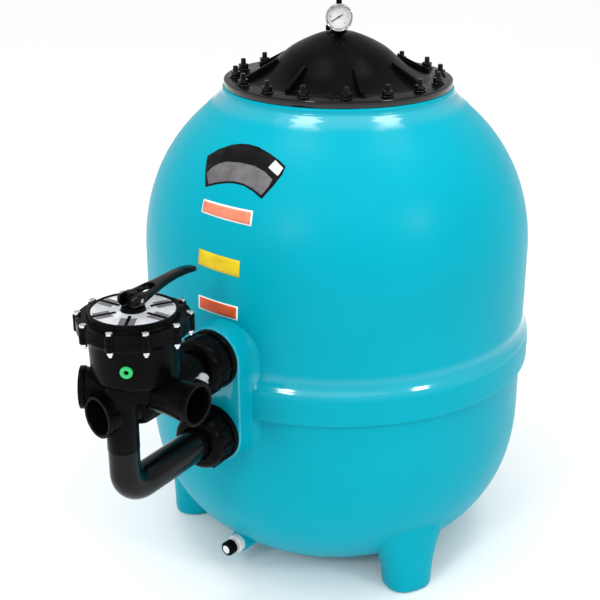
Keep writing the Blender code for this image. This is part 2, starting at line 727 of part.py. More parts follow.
SIGHT_SEAT = PORT_MOUTH + 0.0020
SIGHT_CENTRE = VALVE_AXIS + UP * PORT_HEIGHT + compass(SIDE_PORT_ANGLE) * (SIDE_PORT_REACH - 0.0115)
SIGHT_AXIS = (UP - OUT).normalized()
OUTSIDE_PORTS = [("side_port", SIDE_PORT_REACH, SIDE_PORT_ANGLE, PORT_HEIGHT),
                 ("front_port", FRONT_PORT_REACH, FRONT_PORT_ANGLE, FRONT_PORT_HEIGHT),
                 ("rear_port", REAR_PORT_REACH, REAR_PORT_ANGLE, PORT_HEIGHT)]


def make_valve_body():
    joint = JOINT_HEIGHT
    ledge = BODY_BOTTOM - MANIFOLD_DEPTH
    seal_in = CHAMBER_RADIUS + 0.0035
    seal_out = seal_in + 0.0040
    profile = [(0.0, joint), (seal_in, joint), (seal_in, joint - 0.003), (seal_out, joint - 0.003), (seal_out, joint),
               (COVER_RADIUS, joint), (COVER_RADIUS, joint - 0.007), (BODY_RADIUS + 0.0055, joint - 0.0125),
               (BODY_RADIUS + 0.0020, joint - 0.020), (BODY_RADIUS + 0.0010, joint - 0.045),
               (BODY_RADIUS, BODY_BOTTOM + 0.012), (BODY_RADIUS - 0.003, BODY_BOTTOM + 0.004),
               (BODY_RADIUS - 0.009, BODY_BOTTOM), (MANIFOLD_RADIUS, BODY_BOTTOM), (MANIFOLD_RADIUS, ledge),
               (MANIFOLD_FOOT, ledge - MANIFOLD_TAPER), (0.0, ledge - MANIFOLD_TAPER)]
    body = turned("valve_body", profile, 26, VALVE_AXIS)
    extras = [rod("lug", LUG_RADIUS, joint - LUG_DEPTH, joint, 8, place) for place in SCREW_PLACES]
    extras += [port_form(name + "_form", reach, angle, height) for name, reach, angle, height in OUTSIDE_PORTS]
    extras.append(rod("sight_boss", 0.0100, PORT_NECK - 0.002, SIGHT_SEAT, 12, SIGHT_CENTRE, SIGHT_AXIS))
    base = VALVE_AXIS + UP * UNION_HEIGHT
    tail_length = VALVE_REACH - COLLAR_BACK
    collar_start = VALVE_REACH - COLLAR_FRONT
    lip_end = VALVE_REACH - (FLANGE_FACE + 0.004 + UNION_LENGTH) - 0.003
    tank_port = [(0.0, tail_length), (THREAD_RADIUS, tail_length), (THREAD_RADIUS, collar_start),
                 (TAIL_RADIUS, collar_start), (TAIL_RADIUS, lip_end), (TANK_PORT_RADIUS, lip_end - 0.008),
                 (TANK_PORT_RADIUS, -0.006), (TANK_PORT_RADIUS - 0.010, -0.018), (0.0, -0.020)]
    extras.append(turned("tank_port", tank_port, 18, base, compass(90.0)))
    down = VALVE_AXIS + OUT * DOWN_PORT_OFFSET
    extras.append(rod("down_port", DOWN_PORT_RADIUS, DOWN_PORT_END, BODY_BOTTOM + 0.003, 20, down))
    joined(body, extras)

    chamber = [(0.0, joint + 0.01), (CHAMBER_RADIUS, joint + 0.01), (CHAMBER_RADIUS, CHAMBER_FLOOR),
               (0.0, CHAMBER_FLOOR)]
    holes = [turned("chamber", chamber, 22, VALVE_AXIS)]
    holes += [port_bore(name + "_bore", reach, angle, height) for name, reach, angle, height in OUTSIDE_PORTS]
    holes.append(rod("tank_port_bore", TUBE_BORE, 0.002, tail_length + 0.01, 16, base, compass(90.0)))
    holes.append(rod("down_port_bore", DOWN_PORT_BORE, DOWN_PORT_END - 0.01,
                     DOWN_PORT_END + SPIGOT_LENGTH + 0.004, 18, down))
    holes.append(rod("down_port_way", PORT_BORE * 0.7, DOWN_PORT_END + SPIGOT_LENGTH, CHAMBER_FLOOR + 0.002, 8,
                     VALVE_AXIS + OUT * 0.031))
    seats = [VALVE_AXIS + compass(angle) * 0.036 for angle in (SIDE_PORT_ANGLE, REAR_PORT_ANGLE, 90.0)]
    holes.append(many_rods("seat_ways", 0.011, PORT_HEIGHT, CHAMBER_FLOOR + 0.002, 8, seats))
    holes.append(many_rods("screw_holes", SCREW_HOLE, joint - LUG_DEPTH - 0.02, joint + 0.01, 6, SCREW_PLACES))
    cut(body, holes)
    return finish(body, "valve_body", material("black_moulding", BLACK, 0.4))


def make_valve_cover():
    """Turn the cover's drum, flange and hub, add its lugs and the ribs between its sectors."""
    floor = DRUM_TOP - 0.0035
    lug_edge = COVER_RADIUS
    profile = [(STEM_RADIUS + RUNNING_GAP, HUB_CROWN), (HUB_RADIUS - 0.001, HUB_CROWN),
               (HUB_RADIUS, HUB_CROWN - 0.001), (HUB_RADIUS + 0.001, floor),
               (DRUM_RADIUS - 0.0045, floor), (DRUM_RADIUS - 0.0040, DRUM_TOP),
               (DRUM_RADIUS - 0.0005, DRUM_TOP),
               (DRUM_RADIUS + 0.0015, COVER_TOP), (lug_edge, COVER_TOP), (lug_edge, COVER_BOTTOM),
               (CHAMBER_RADIUS, COVER_BOTTOM), (CHAMBER_RADIUS - 0.002, COVER_BOTTOM + 0.007),
               (STEM_RADIUS + RUNNING_GAP, COVER_BOTTOM + 0.007)]
    cover = turned("valve_cover", profile, 26, VALVE_AXIS, loop=True)
    extras = [rod("lug", LUG_RADIUS, COVER_BOTTOM, COVER_TOP, 8, place) for place in SCREW_PLACES]
    for i in range(SECTORS):
        rib = block("sector_rib", (HUB_RADIUS + 0.0085, -0.0020, floor - 0.001),
                    (DRUM_RADIUS - 0.002, 0.0020, DRUM_TOP - 0.0002), VALVE_AXIS)
        rib.rotation_mode = "XYZ"
        rib.rotation_euler = (0.0, 0.0, math.radians(360.0 * (i + 0.5) / SECTORS - 90.0))
        extras.append(rib)
    joined(cover, extras)
    cut(cover, [many_rods("screw_holes", SCREW_HOLE, COVER_BOTTOM - 0.01, COVER_TOP + 0.01, 6, SCREW_PLACES)])
    return finish(cover, "valve_cover", material("black_moulding", BLACK, 0.4))


def make_position_plate():
    """Make the bright ring under the cover's ribs, with a slot for each rib."""
    low = DRUM_TOP - 0.0035 + GAP
    high = low + PLATE_THICKNESS
    inner = HUB_RADIUS + 0.0015
    outer = DRUM_RADIUS - 0.0050
    plate = turned("position_plate", [(inner, high), (outer, high), (outer, low), (inner, low)], 26,
                   VALVE_AXIS, loop=True)
    slots = []
    for i in range(SECTORS):
        slot = block("sector_slot", (HUB_RADIUS + 0.0080, -0.0024, low - 0.002),
                     (DRUM_RADIUS + 0.002, 0.0024, high + 0.002), VALVE_AXIS)
        slot.rotation_mode = "XYZ"
        slot.rotation_euler = (0.0, 0.0, math.radians(360.0 * (i + 0.5) / SECTORS - 90.0))
        slots.append(slot)
    cut(plate, slots)
    return finish(plate, "position_plate", material("white_plate", WHITE, 0.35))


def make_cover_seal():
    inner = CHAMBER_RADIUS + 0.0035 + GAP
    outer = CHAMBER_RADIUS + 0.0075 - GAP
    high = JOINT_HEIGHT
    low = JOINT_HEIGHT - 0.003 + GAP
    seal = turned("cover_seal", [(outer, high), (outer, low), (inner, low), (inner, high)], 26,
                  VALVE_AXIS, loop=True)
    return finish(seal, "cover_seal", material("black_rubber", RUBBER, 0.7))


def make_cover_screws():
    """Make a hex-headed screw with its nut under the body's lug, once for each lug."""
    under_head = COVER_TOP + GAP
    nut_top = JOINT_HEIGHT - LUG_DEPTH - GAP
    end = nut_top - 0.0075
    profile = [(0.0, under_head + 0.001), (SCREW_RADIUS, under_head + 0.001), (SCREW_RADIUS, end), (0.0, end)]
    screw = turned("screw", profile, 6)
    joined(screw, [rod("head", SCREW_HEAD, under_head, under_head + SCREW_HEAD_HEIGHT, 6),
                   rod("nut", SCREW_HEAD * 0.92, nut_top - 0.0045, nut_top, 6)])
    steel = material("bright_steel", BRIGHT_STEEL, 0.25, 1.0)
    for i, place in enumerate(SCREW_PLACES):
        name = "cover_screw_{:02d}".format(i + 1)
        finish(link(screw.data, name, place), name, steel)
    bpy.data.objects.remove(screw, do_unlink=True)


ROTOR_LOW = CHAMBER_FLOOR + GAP + SPIDER_HEIGHT + GAP
ROTOR_TOP = ROTOR_LOW + ROTOR_HEIGHT
COVER_CEILING = COVER_BOTTOM + 0.007


def make_rotor():
    top = HUB_CROWN + STEM_TOP + 0.010
    profile = [(0.0, top), (STEM_RADIUS - 0.0015, top), (STEM_RADIUS, top - 0.0015),
               (STEM_RADIUS, ROTOR_TOP), (0.022, ROTOR_TOP), (ROTOR_RADIUS - 0.003, ROTOR_TOP - 0.004),
               (ROTOR_RADIUS, ROTOR_TOP - 0.006), (ROTOR_RADIUS, ROTOR_LOW), (0.0, ROTOR_LOW)]
    rotor = turned("valve_rotor", profile, 18, VALVE_AXIS)
    window = rod("window", 0.012, ROTOR_LOW - 0.01, ROTOR_TOP + 0.01, 14, VALVE_AXIS + OUT * 0.036)
    hollow = rod("hollow", 0.012, ROTOR_LOW - 0.01, ROTOR_LOW + 0.007, 14, VALVE_AXIS - OUT * 0.036)
    hollow_side = rod("hollow_side", 0.012, ROTOR_LOW - 0.01, ROTOR_LOW + 0.007, 14,
                      VALVE_AXIS + compass(0.0) * 0.036)
    pin_hole = rod("pin_hole", 0.0033, -0.03, 0.03, 12, VALVE_AXIS + UP * PIVOT_HEIGHT, compass(0.0))
    cut(rotor, [window, hollow, hollow_side, pin_hole])
    return finish(rotor, "valve_rotor", material("black_moulding", BLACK, 0.4))


def make_spider_gasket():
    """Make the rubber star that seals the rotor's sectors, with its rim."""
    low = CHAMBER_FLOOR + GAP
    high = low + SPIDER_HEIGHT
    rim = turned("spider_gasket", [(CHAMBER_RADIUS - 0.002, high), (CHAMBER_RADIUS - 0.002, low),
                                   (CHAMBER_RADIUS - 0.006, low), (CHAMBER_RADIUS - 0.006, high)],
                 18, VALVE_AXIS, loop=True)
    arms = [rod("centre", 0.009, low, high, 12, VALVE_AXIS)]
    for i in range(SECTORS):
        arm = block("arm", (0.006, -0.0018, low), (CHAMBER_RADIUS - 0.004, 0.0018, high), VALVE_AXIS)
        arm.rotation_mode = "XYZ"
        arm.rotation_euler = (0.0, 0.0, math.radians(360.0 * (i + 0.5) / SECTORS))
        arms.append(arm)
    joined(rim, arms)
    return finish(rim, "spider_gasket", material("black_rubber", RUBBER, 0.7))


def make_spring():
    low = ROTOR_TOP + GAP + SPRING_WIRE
    high = COVER_CEILING - 0.0022 - SPRING_WIRE
    steps = 8
    total = SPRING_TURNS * steps
    path = []
    for i in range(total + 1):
        turn = 2.0 * math.pi * i / steps
        height = low + (high - low) * i / total
        path.append(VALVE_AXIS + Vector((math.cos(turn), math.sin(turn), 0.0)) * SPRING_RADIUS + UP * height)
    spring = swept("rotor_spring", path, [SPRING_WIRE] * len(path), 6)
    return finish(spring, "rotor_spring", material("bright_steel", BRIGHT_STEEL, 0.25, 1.0))


def make_slip_washer():
    high = COVER_CEILING - GAP
    low = high - 0.0016
    bore = STEM_RADIUS + RUNNING_GAP
    washer = turned("slip_washer", [(bore, high), (SPRING_RADIUS + 0.004, high), (SPRING_RADIUS + 0.004, low),
                                    (bore, low)], 24, VALVE_AXIS, loop=True)
    return finish(washer, "slip_washer", material("natural_plastic", NATURAL, 0.4))


def make_handle():
    """Loft the fork handle along +Y from its two lobes to its tip, then open the fork."""
    stations = [(-0.0150, 0.0000, 0.0140, 0.0060), (-0.0125, 0.0000, 0.0168, 0.0088),
                (-0.0050, 0.0000, 0.0178, 0.0098), (0.0050, 0.0000, 0.0178, 0.0096),
                (0.0130, 0.0006, 0.0174, 0.0072), (0.0240, 0.0018, 0.0164, 0.0056),
                (0.0380, 0.0030, 0.0144, 0.0054), (0.0520, 0.0040, 0.0112, 0.0056),
                (0.0700, 0.0054, 0.0090, 0.0056), (0.0920, 0.0064, 0.0082, 0.0054),
                (0.1120, 0.0056, 0.0082, 0.0052), (0.1260, 0.0036, 0.0080, 0.0048),
                (0.1340, 0.0020, 0.0066, 0.0042), (0.1380, 0.0008, 0.0040, 0.0028)]
    rings = []
    for along, rise, half_width, half_height in stations:
        ring = []
        for i in range(16):
            turn = 2.0 * math.pi * (i + 0.5) / 16
            across = math.copysign(abs(math.cos(turn)) ** 0.55, math.cos(turn)) * half_width
            up = math.copysign(abs(math.sin(turn)) ** 0.55, math.sin(turn)) * half_height
            ring.append(Vector((across, along, rise + up)))
        rings.append(ring)
    pivot = VALVE_AXIS + UP * PIVOT_HEIGHT
    handle = loft("valve_handle", rings, pivot)
    inner = STEM_RADIUS + 0.0010
    fork = block("fork", (-inner, -0.04, -0.02), (inner, 0.034, 0.02), pivot)
    fork_end = rod("fork_end", inner, -0.02, 0.02, 16, pivot - OUT * 0.034)
    pin_hole = rod("pin_hole", 0.0033, -0.03, 0.03, 12, pivot, compass(0.0))
    tip_hole = rod("tip_hole", 0.0022, -0.02, 0.02, 10, pivot - OUT * 0.128)
    cut(handle, [fork, fork_end, pin_hole, tip_hole])
    return finish(handle, "valve_handle", material("black_moulding", BLACK, 0.4))


def make_handle_pin():
    pin = rod("handle_pin", 0.0030, -0.0170, 0.0170, 12, VALVE_AXIS + UP * PIVOT_HEIGHT, compass(0.0))
    return finish(pin, "handle_pin", material("bright_steel", BRIGHT_STEEL, 0.25, 1.0))


def make_sight_glass():
    """Make the clear cap above the side port's mouth, which shows the water that leaves."""
    seat = SIGHT_SEAT + GAP
    profile = [(0.0, seat + 0.011), (0.0050, seat + 0.011), (0.0072, seat + 0.009), (0.0076, seat + 0.003),
               (0.0095, seat + 0.0025), (0.0095, seat), (0.0, seat)]
    glass = turned("sight_glass", profile, 12, SIGHT_CENTRE, SIGHT_AXIS)
    return finish(glass, "sight_glass", material("clear_lens", CLEAR, 0.05))


# Unions and pipes
def make_bulkhead(name, height):
    """Make a threaded fitting through the tank's wall, with its flange against the pad."""
    inside = TANK_RADIUS - TANK_WALL - TUBE_INSIDE
    profile = [(TUBE_BORE, SEAT_FACE), (THREAD_RADIUS - 0.001, SEAT_FACE), (THREAD_RADIUS, SEAT_FACE - 0.001),
               (THREAD_RADIUS, FLANGE_FACE), (FLANGE_RADIUS - 0.002, FLANGE_FACE),
               (FLANGE_RADIUS, FLANGE_FACE - 0.002), (FLANGE_RADIUS, PAD_FACE + GAP),
               (TUBE_RADIUS, PAD_FACE + GAP), (TUBE_RADIUS, inside), (TUBE_BORE, inside)]
    fitting = turned(name, profile, 20, UP * height, OUT, loop=True)
    return finish(fitting, name, material("black_moulding", BLACK, 0.4))


def make_lock_nut(name, height):
    """Make the ring that draws the fitting tight from inside the tank's curved wall."""
    flat = (TANK_RADIUS - TANK_WALL) * math.cos(math.pi / TANK_SEGMENTS)
    high = math.sqrt(flat ** 2 - LOCK_NUT_RADIUS ** 2) - GAP
    low = high - LOCK_NUT_LENGTH
    bore = TUBE_RADIUS + GAP
    profile = [(bore, high), (LOCK_NUT_RADIUS, high), (LOCK_NUT_RADIUS, low), (bore, low)]
    nut = turned(name, profile, 20, UP * height, OUT, loop=True)
    return finish(nut, name, material("black_moulding", BLACK, 0.4))


def make_union_nut(name, height):
    """Turn the union's big nut, with a lip that pulls the collar in, and add its grips."""
    low = FLANGE_FACE + 0.004
    high = low + UNION_LENGTH
    bore = THREAD_RADIUS + RUNNING_GAP
    lip_bore = TAIL_RADIUS + 0.001
    lip = COLLAR_FRONT + RUNNING_GAP
    body = UNION_RADIUS - 0.003
    profile = [(lip_bore, high), (body - 0.012, high), (body - 0.004, high - 0.004), (body, high - 0.012),
               (body, low + 0.002), (body - 0.002, low), (bore, low), (bore, lip), (lip_bore, lip)]
    nut = turned(name, profile, 20, UP * height, OUT, loop=True)
    grips = []
    for i in range(UNION_GRIPS):
        turn = 360.0 * i / UNION_GRIPS
        place = UP * height + compass(0.0) * (body - 0.0015) * math.cos(math.radians(turn))
        place += UP * (body - 0.0015) * math.sin(math.radians(turn))
        grips.append(rod("grip", 0.0045, low + 0.002, high - 0.014, 6, place, OUT))
    joined(nut, grips)
    return finish(nut, name, material("black_moulding", BLACK, 0.4))


def make_lower_pipe():
    """Make the moulded elbow from under the valve to the lower union, with its collar."""
    top = DOWN_PORT_END - GAP
    start = Vector((0.0, -DOWN_PORT_REACH, top))
    corner = Vector((0.0, -DOWN_PORT_REACH, LOWER_UNION))
    end = Vector((0.0, -COLLAR_BACK, LOWER_UNION))
    path = arc_path(start, corner, end, PIPE_BEND, 8)
    taper = [PIPE_RADIUS_UP]
    for i in range(9):
        taper.append(PIPE_RADIUS_UP + (PIPE_RADIUS_ALONG - PIPE_RADIUS_UP) * i / 8)
    taper.append(PIPE_RADIUS_ALONG)
    pipe = swept("lower_pipe", path, taper, 16)
    collar = rod("collar", THREAD_RADIUS, COLLAR_BACK, COLLAR_FRONT, 20, UP * LOWER_UNION, OUT)
    spigot = rod("spigot", DOWN_PORT_BORE - RUNNING_GAP, top - 0.004, top + SPIGOT_LENGTH, 20,
                 Vector((0.0, -DOWN_PORT_REACH, 0.0)))
    joined(pipe, [collar, spigot])
    inner = [radius - PIPE_WALL - 0.002 for radius in taper]
    long_path = [path[0] + UP * 0.04] + path[1:-1] + [path[-1] - OUT * 0.02]
    cut(pipe, [swept("pipe_bore", long_path, [DOWN_PORT_BORE - 0.004] * 2 + inner[2:], 12)])
    return finish(pipe, "lower_pipe", material("black_pipe", BLACK, 0.2))


def make_riser():
    """Make the pipe that carries dirty water from the upper union to the top of the tank."""
    inside = TANK_RADIUS - TANK_WALL - TUBE_INSIDE
    start = Vector((0.0, -(inside + 0.020), UNION_HEIGHT))
    corner = Vector((0.0, 0.0, UNION_HEIGHT))
    end = Vector((0.0, 0.0, RISER_TOP))
    path = arc_path(start, corner, end, RISER_BEND, 5)
    riser = swept("inlet_riser", path, [RISER_RADIUS] * len(path), 8)
    bore_path = [path[0] + OUT * 0.02] + path[1:-1] + [path[-1] + UP * 0.02]
    cut(riser, [swept("riser_bore", bore_path, [RISER_RADIUS - 0.003] * len(path), 8)])
    return finish(riser, "inlet_riser", material("natural_plastic", NATURAL, 0.4))


def make_diffuser():
    """Make the cap that spreads the water, with windows in its side."""
    sleeve = RISER_RADIUS + 0.004
    base = RISER_TOP - 0.020
    top = base + DIFFUSER_HEIGHT
    profile = [(0.0, top), (DIFFUSER_RADIUS * 0.7, top - 0.003), (DIFFUSER_RADIUS, top - 0.012),
               (DIFFUSER_RADIUS, base + 0.014), (sleeve, base + 0.004), (sleeve, base),
               (RISER_RADIUS + GAP, base), (RISER_RADIUS + GAP, RISER_TOP + GAP),
               (DIFFUSER_RADIUS - 0.004, RISER_TOP + GAP), (DIFFUSER_RADIUS - 0.004, top - 0.014),
               (0.0, top - 0.006)]
    diffuser = turned("diffuser", profile, 20)
    windows = []
    for i in range(6):
        window = block("window", (DIFFUSER_RADIUS - 0.012, -0.009, RISER_TOP + 0.004),
                       (DIFFUSER_RADIUS + 0.01, 0.009, top - 0.018))
        window.rotation_mode = "XYZ"
        window.rotation_euler = (0.0, 0.0, math.radians(60.0 * i))
        windows.append(window)
    cut(diffuser, windows)
    return finish(diffuser, "diffuser", material("natural_plastic", NATURAL, 0.4))


def make_outlet_pipe():
    """Make the pipe that carries clean water from the collector to the lower union."""
    inside = TANK_RADIUS - TANK_WALL - TUBE_INSIDE
    start = Vector((0.0, -(inside + 0.020), LOWER_UNION))
    corner = Vector((0.0, 0.0, LOWER_UNION))
    end = Vector((0.0, 0.0, HUB_TOP - 0.016))
    path = arc_path(start, corner, end, RISER_BEND, 5)
    pipe = swept("outlet_pipe", path, [RISER_RADIUS] * len(path), 8)
    bore_path = [path[0] + OUT * 0.02] + path[1:-1] + [path[-1] - UP * 0.02]
    cut(pipe, [swept("outlet_bore", bore_path, [RISER_RADIUS - 0.003] * len(path), 8)])
    return finish(pipe, "outlet_pipe", material("natural_plastic", NATURAL, 0.4))


def make_collector():
    """Make the hub at the bottom of the sand with its grooved laterals."""
    profile = [(0.0, HUB_TOP - 0.016 - GAP), (RISER_RADIUS + GAP, HUB_TOP - 0.016 - GAP),
               (RISER_RADIUS + GAP, HUB_TOP), (RISER_RADIUS + 0.006, HUB_TOP),
               (COLLECTOR_RADIUS, HUB_TOP - 0.018), (COLLECTOR_RADIUS, HUB_BOTTOM), (0.0, HUB_BOTTOM)]
    hub = turned("collector", profile, 16)
    laterals = []
    start = COLLECTOR_RADIUS - 0.006
    for i in range(LATERAL_COUNT):
        lateral = [(0.0, LATERAL_REACH), (LATERAL_RADIUS - 0.003, LATERAL_REACH),
                   (LATERAL_RADIUS, LATERAL_REACH - 0.003), (LATERAL_RADIUS, start), (0.0, start)]
        turn = 360.0 * (i + 0.5) / LATERAL_COUNT
        laterals.append(turned("lateral", lateral, 6, UP * LATERAL_HEIGHT, compass(turn)))
    joined(hub, laterals)
    return finish(hub, "collector", material("natural_plastic", NATURAL, 0.4))


# Drain
def make_drain():
    axis = compass(DRAIN_ANGLE)
    base = UP * DRAIN_HEIGHT
    face = DRAIN_REACH + GAP
    inside = DRAIN_REACH - 0.050
    bore = 0.005
    profile = [(bore, face + 0.024), (0.0078, face + 0.024), (0.0078, face + 0.010), (DRAIN_NUT - 0.001, face + 0.010),
               (DRAIN_NUT, face + 0.009), (DRAIN_NUT, face), (DRAIN_TUBE, face), (DRAIN_TUBE, inside),
               (bore, inside)]
    fitting = turned("drain_fitting", profile, 12, base, axis, loop=True)
    finish(fitting, "drain_fitting", material("black_moulding", BLACK, 0.4))

    low = face + 0.016
    high = low + 0.015
    bore = 0.0078 + RUNNING_GAP
    profile = [(0.0, high), (DRAIN_CAP - 0.002, high), (DRAIN_CAP, high - 0.002), (DRAIN_CAP, low),
               (bore, low), (bore, face + 0.024 + GAP), (0.0, face + 0.024 + GAP)]
    cap = turned("drain_cap", profile, 14, base, axis)
    finish(cap, "drain_cap", material("drain_white", WHITE, 0.4))


def gather():
    """Hang every piece and cutter on one empty, and move that so the outline is centred."""
    bpy.context.view_layer.update()
    edges = [(made.matrix_world @ Vector(corner)).y for made in PARTS.objects for corner in made.bound_box]
    frame = bpy.data.objects.new("filter_axis", None)
    PARTS.objects.link(frame)
    for made in list(PARTS.objects) + list(CUTTERS.objects):
        if made is not frame:
            made.parent = frame
    frame.location = (0.0, -(min(edges) + max(edges)) / 2.0, 0.0)
    bpy.context.view_layer.update()


def main():
    make_tank()
    make_lid()
    make_gasket()
    make_lid_bolts()
    make_column()
    make_bleed_knob()
    make_gauge()
    make_valve_body()
    make_valve_cover()
    make_position_plate()
    make_cover_seal()
    make_cover_screws()
    make_rotor()
    make_spider_gasket()
    make_spring()
    make_slip_washer()
    make_handle()
    make_handle_pin()
    make_sight_glass()
    for side, height in (("upper", UNION_HEIGHT), ("lower", LOWER_UNION)):
        make_bulkhead(side + "_bulkhead", height)
        make_lock_nut(side + "_lock_nut", height)
        make_union_nut(side + "_union_nut", height)
    make_lower_pipe()
    make_riser()
    make_diffuser()
    make_outlet_pipe()
    make_collector()
    make_drain()
    gather()


main()
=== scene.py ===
# %% [markdown]
# A pool sand filter is a big moulded tank with a bolted lid, and a selector valve that hangs on its side.
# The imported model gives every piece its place. We could paint those pieces as they are, but they are made
# of few flat faces, so the round forms that fill the picture are made again here with more steps, from the
# same sizes, and each one stands for its own piece.

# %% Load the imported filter
import math

import bmesh
import bpy
from mathutils import Matrix, Vector


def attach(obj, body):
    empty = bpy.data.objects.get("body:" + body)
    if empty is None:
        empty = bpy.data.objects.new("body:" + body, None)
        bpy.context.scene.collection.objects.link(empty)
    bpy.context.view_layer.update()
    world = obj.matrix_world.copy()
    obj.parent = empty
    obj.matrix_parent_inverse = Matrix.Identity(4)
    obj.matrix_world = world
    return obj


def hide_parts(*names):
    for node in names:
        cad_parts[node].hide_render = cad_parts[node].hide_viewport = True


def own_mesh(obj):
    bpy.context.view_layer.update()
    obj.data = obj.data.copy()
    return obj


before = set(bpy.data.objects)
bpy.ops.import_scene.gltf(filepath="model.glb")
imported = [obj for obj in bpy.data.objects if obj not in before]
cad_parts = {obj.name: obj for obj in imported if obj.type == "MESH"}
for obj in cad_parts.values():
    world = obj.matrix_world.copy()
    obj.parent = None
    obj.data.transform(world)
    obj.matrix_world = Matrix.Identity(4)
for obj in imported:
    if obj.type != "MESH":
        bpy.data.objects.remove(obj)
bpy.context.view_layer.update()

# %% [markdown]
# Everything is measured from two upright axes, the tank's and the valve's. Naming them once keeps the
# numbers below the same as on a drawing of the filter.

# %% Axes and main sizes
UP = Vector((0.0, 0.0, 1.0))
OUT = Vector((0.0, -1.0, 0.0))
TANK_AXIS = Vector((0.0, 0.138873, 0.0))
VALVE_AXIS = TANK_AXIS + OUT * 0.533
TANK_RADIUS = 0.325
TANK_WALL = 0.008
WALL_BOTTOM, WALL_TOP = 0.264, 0.536
NECK_TOP, NECK_BORE = 0.8083, 0.148
UPPER, LOWER = 0.452, 0.327
GAP = 0.0003


def compass(degrees):
    """The level direction at an angle from +X towards +Y."""
    angle = math.radians(degrees)
    return Vector((math.cos(angle), math.sin(angle), 0.0))


print("axes are", round((TANK_AXIS - VALVE_AXIS).length, 3), "m apart")

# %% [markdown]
# Most pieces of a filter are turned or moulded round an axis. A row of points is their outline, and the
# spin operator carries it round. The alternative, a cylinder that is pushed about ring by ring, gives the
# same form with more work. The two helpers below make an outline round and put it on its axis.

# %% Spin an outline round an axis
def placed(at, along):
    """The matrix that lays local +Z along a direction, at a point."""
    return Matrix.Translation(at) @ UP.rotation_difference(Vector(along)).to_matrix().to_4x4()


def facing(side, up, out, at):
    """The matrix that lays local X, Y and Z along three directions, at a point."""
    turn = Matrix((side, up, out)).transposed().to_4x4()
    turn.translation = at
    return turn


def spun(outline, steps=96, closed=False, at=TANK_AXIS, along=UP):
    """Spin (radius, height) points round +Z and lay the result along a direction."""
    work = bmesh.new()
    dots = [work.verts.new((radius, 0.0, height)) for radius, height in outline]
    lines = [work.edges.new(pair) for pair in zip(dots, dots[1:])]
    if closed:
        lines.append(work.edges.new((dots[-1], dots[0])))
    bmesh.ops.spin(work, geom=dots + lines, cent=(0, 0, 0), axis=(0, 0, 1), steps=steps,
                   angle=2.0 * math.pi, use_merge=True)
    bmesh.ops.remove_doubles(work, verts=work.verts, dist=0.000002)
    bmesh.ops.dissolve_degenerate(work, edges=work.edges, dist=0.000002)
    bmesh.ops.recalc_face_normals(work, faces=work.faces)
    bmesh.ops.transform(work, matrix=placed(at, along), verts=work.verts)
    return work


trial = spun([(0.0, 1.0), (1.0, 1.0), (1.0, 0.0), (0.0, 0.0)], 24)
print("a spun bar with 24 sides has", len(trial.faces), "faces")
trial.free()

# %% [markdown]
# An outline is given by few points. Where it should be round, a smooth run goes through them. Bars, boxes
# and rounded edges come back all over the filter too, so they have helpers as well.

# %% Smooth runs, bars, boxes and rounded edges
def flowing(points, between=5):
    """Return a smooth run of points through a few given ones."""
    run = []
    last = len(points) - 1
    for i in range(last):
        a, b = Vector(points[max(i - 1, 0)]), Vector(points[i])
        c, d = Vector(points[i + 1]), Vector(points[min(i + 2, last)])
        for k in range(between):
            t = k / between
            run.append(0.5 * (2 * b + (c - a) * t + (2 * a - 5 * b + 4 * c - d) * t * t
                              + (3 * b - a - 3 * c + d) * t * t * t))
    run.append(Vector(points[last]))
    return [tuple(point) for point in run]


def rod(radius, low, high, steps=32, at=TANK_AXIS, along=UP):
    """A round bar from one height to another."""
    work = bmesh.new()
    bmesh.ops.create_cone(work, cap_ends=True, segments=steps, radius1=radius, radius2=radius,
                          depth=high - low)
    bmesh.ops.translate(work, vec=(0.0, 0.0, (low + high) / 2.0), verts=work.verts)
    bmesh.ops.transform(work, matrix=placed(at, along), verts=work.verts)
    return work


def slab(low, high, at=TANK_AXIS, turn=0.0):
    """A box between two corners, turned about an upright axis."""
    work = bmesh.new()
    bmesh.ops.create_cube(work, size=1.0)
    low, high = Vector(low), Vector(high)
    bmesh.ops.scale(work, vec=high - low, verts=work.verts)
    bmesh.ops.translate(work, vec=(high + low) / 2.0, verts=work.verts)
    matrix = Matrix.Translation(at) @ Matrix.Rotation(math.radians(turn), 4, "Z")
    bmesh.ops.transform(work, matrix=matrix, verts=work.verts)
    return work


def crisp(work, width, steps=2, angle=32.0):
    """Round the edges that are sharper than an angle, as a mould or a tool leaves them."""
    sharp = [edge for edge in work.edges if len(edge.link_faces) == 2
             and edge.calc_face_angle(0.0) > math.radians(angle)]
    bmesh.ops.bevel(work, geom=sharp, offset=width, offset_type="OFFSET", segments=steps, profile=0.5,
                    affect="EDGES", material=-1, clamp_overlap=True)
    return work


print("a smooth run through 3 points has", len(flowing([(1.0, 0.0), (0.7, 0.7), (0.0, 1.0)])), "points")

# %% [markdown]
# A mesh becomes a piece of the filter when it has a name, a finish and a body to ride on. Forms that grow
# into one another, such as a port and the valve's body, are joined with the Boolean modifier. Its result is
# kept as the piece's mesh, and the tools that shaped it are removed.

# %% Turn meshes into pieces
SCENE = bpy.context.scene.collection


def as_object(work, name):
    """Make an object of a mesh that is being worked on."""
    mesh = bpy.data.meshes.new(name)
    work.to_mesh(mesh)
    work.free()
    made = bpy.data.objects.new(name, mesh)
    SCENE.objects.link(made)
    return made


def combine(base, others, operation="UNION"):
    """Join other forms to an object, or cut them away, and keep the result as its mesh."""
    tools = [as_object(other, "tool") for other in others]
    for tool in tools:
        change = base.modifiers.new("join", "BOOLEAN")
        change.operation = operation
        change.solver = "EXACT"
        change.object = tool
    shaped = bpy.data.meshes.new_from_object(base.evaluated_get(bpy.context.evaluated_depsgraph_get()))
    base.modifiers.clear()
    base.data = shaped
    for tool in tools:
        bpy.data.objects.remove(tool, do_unlink=True)
    return base


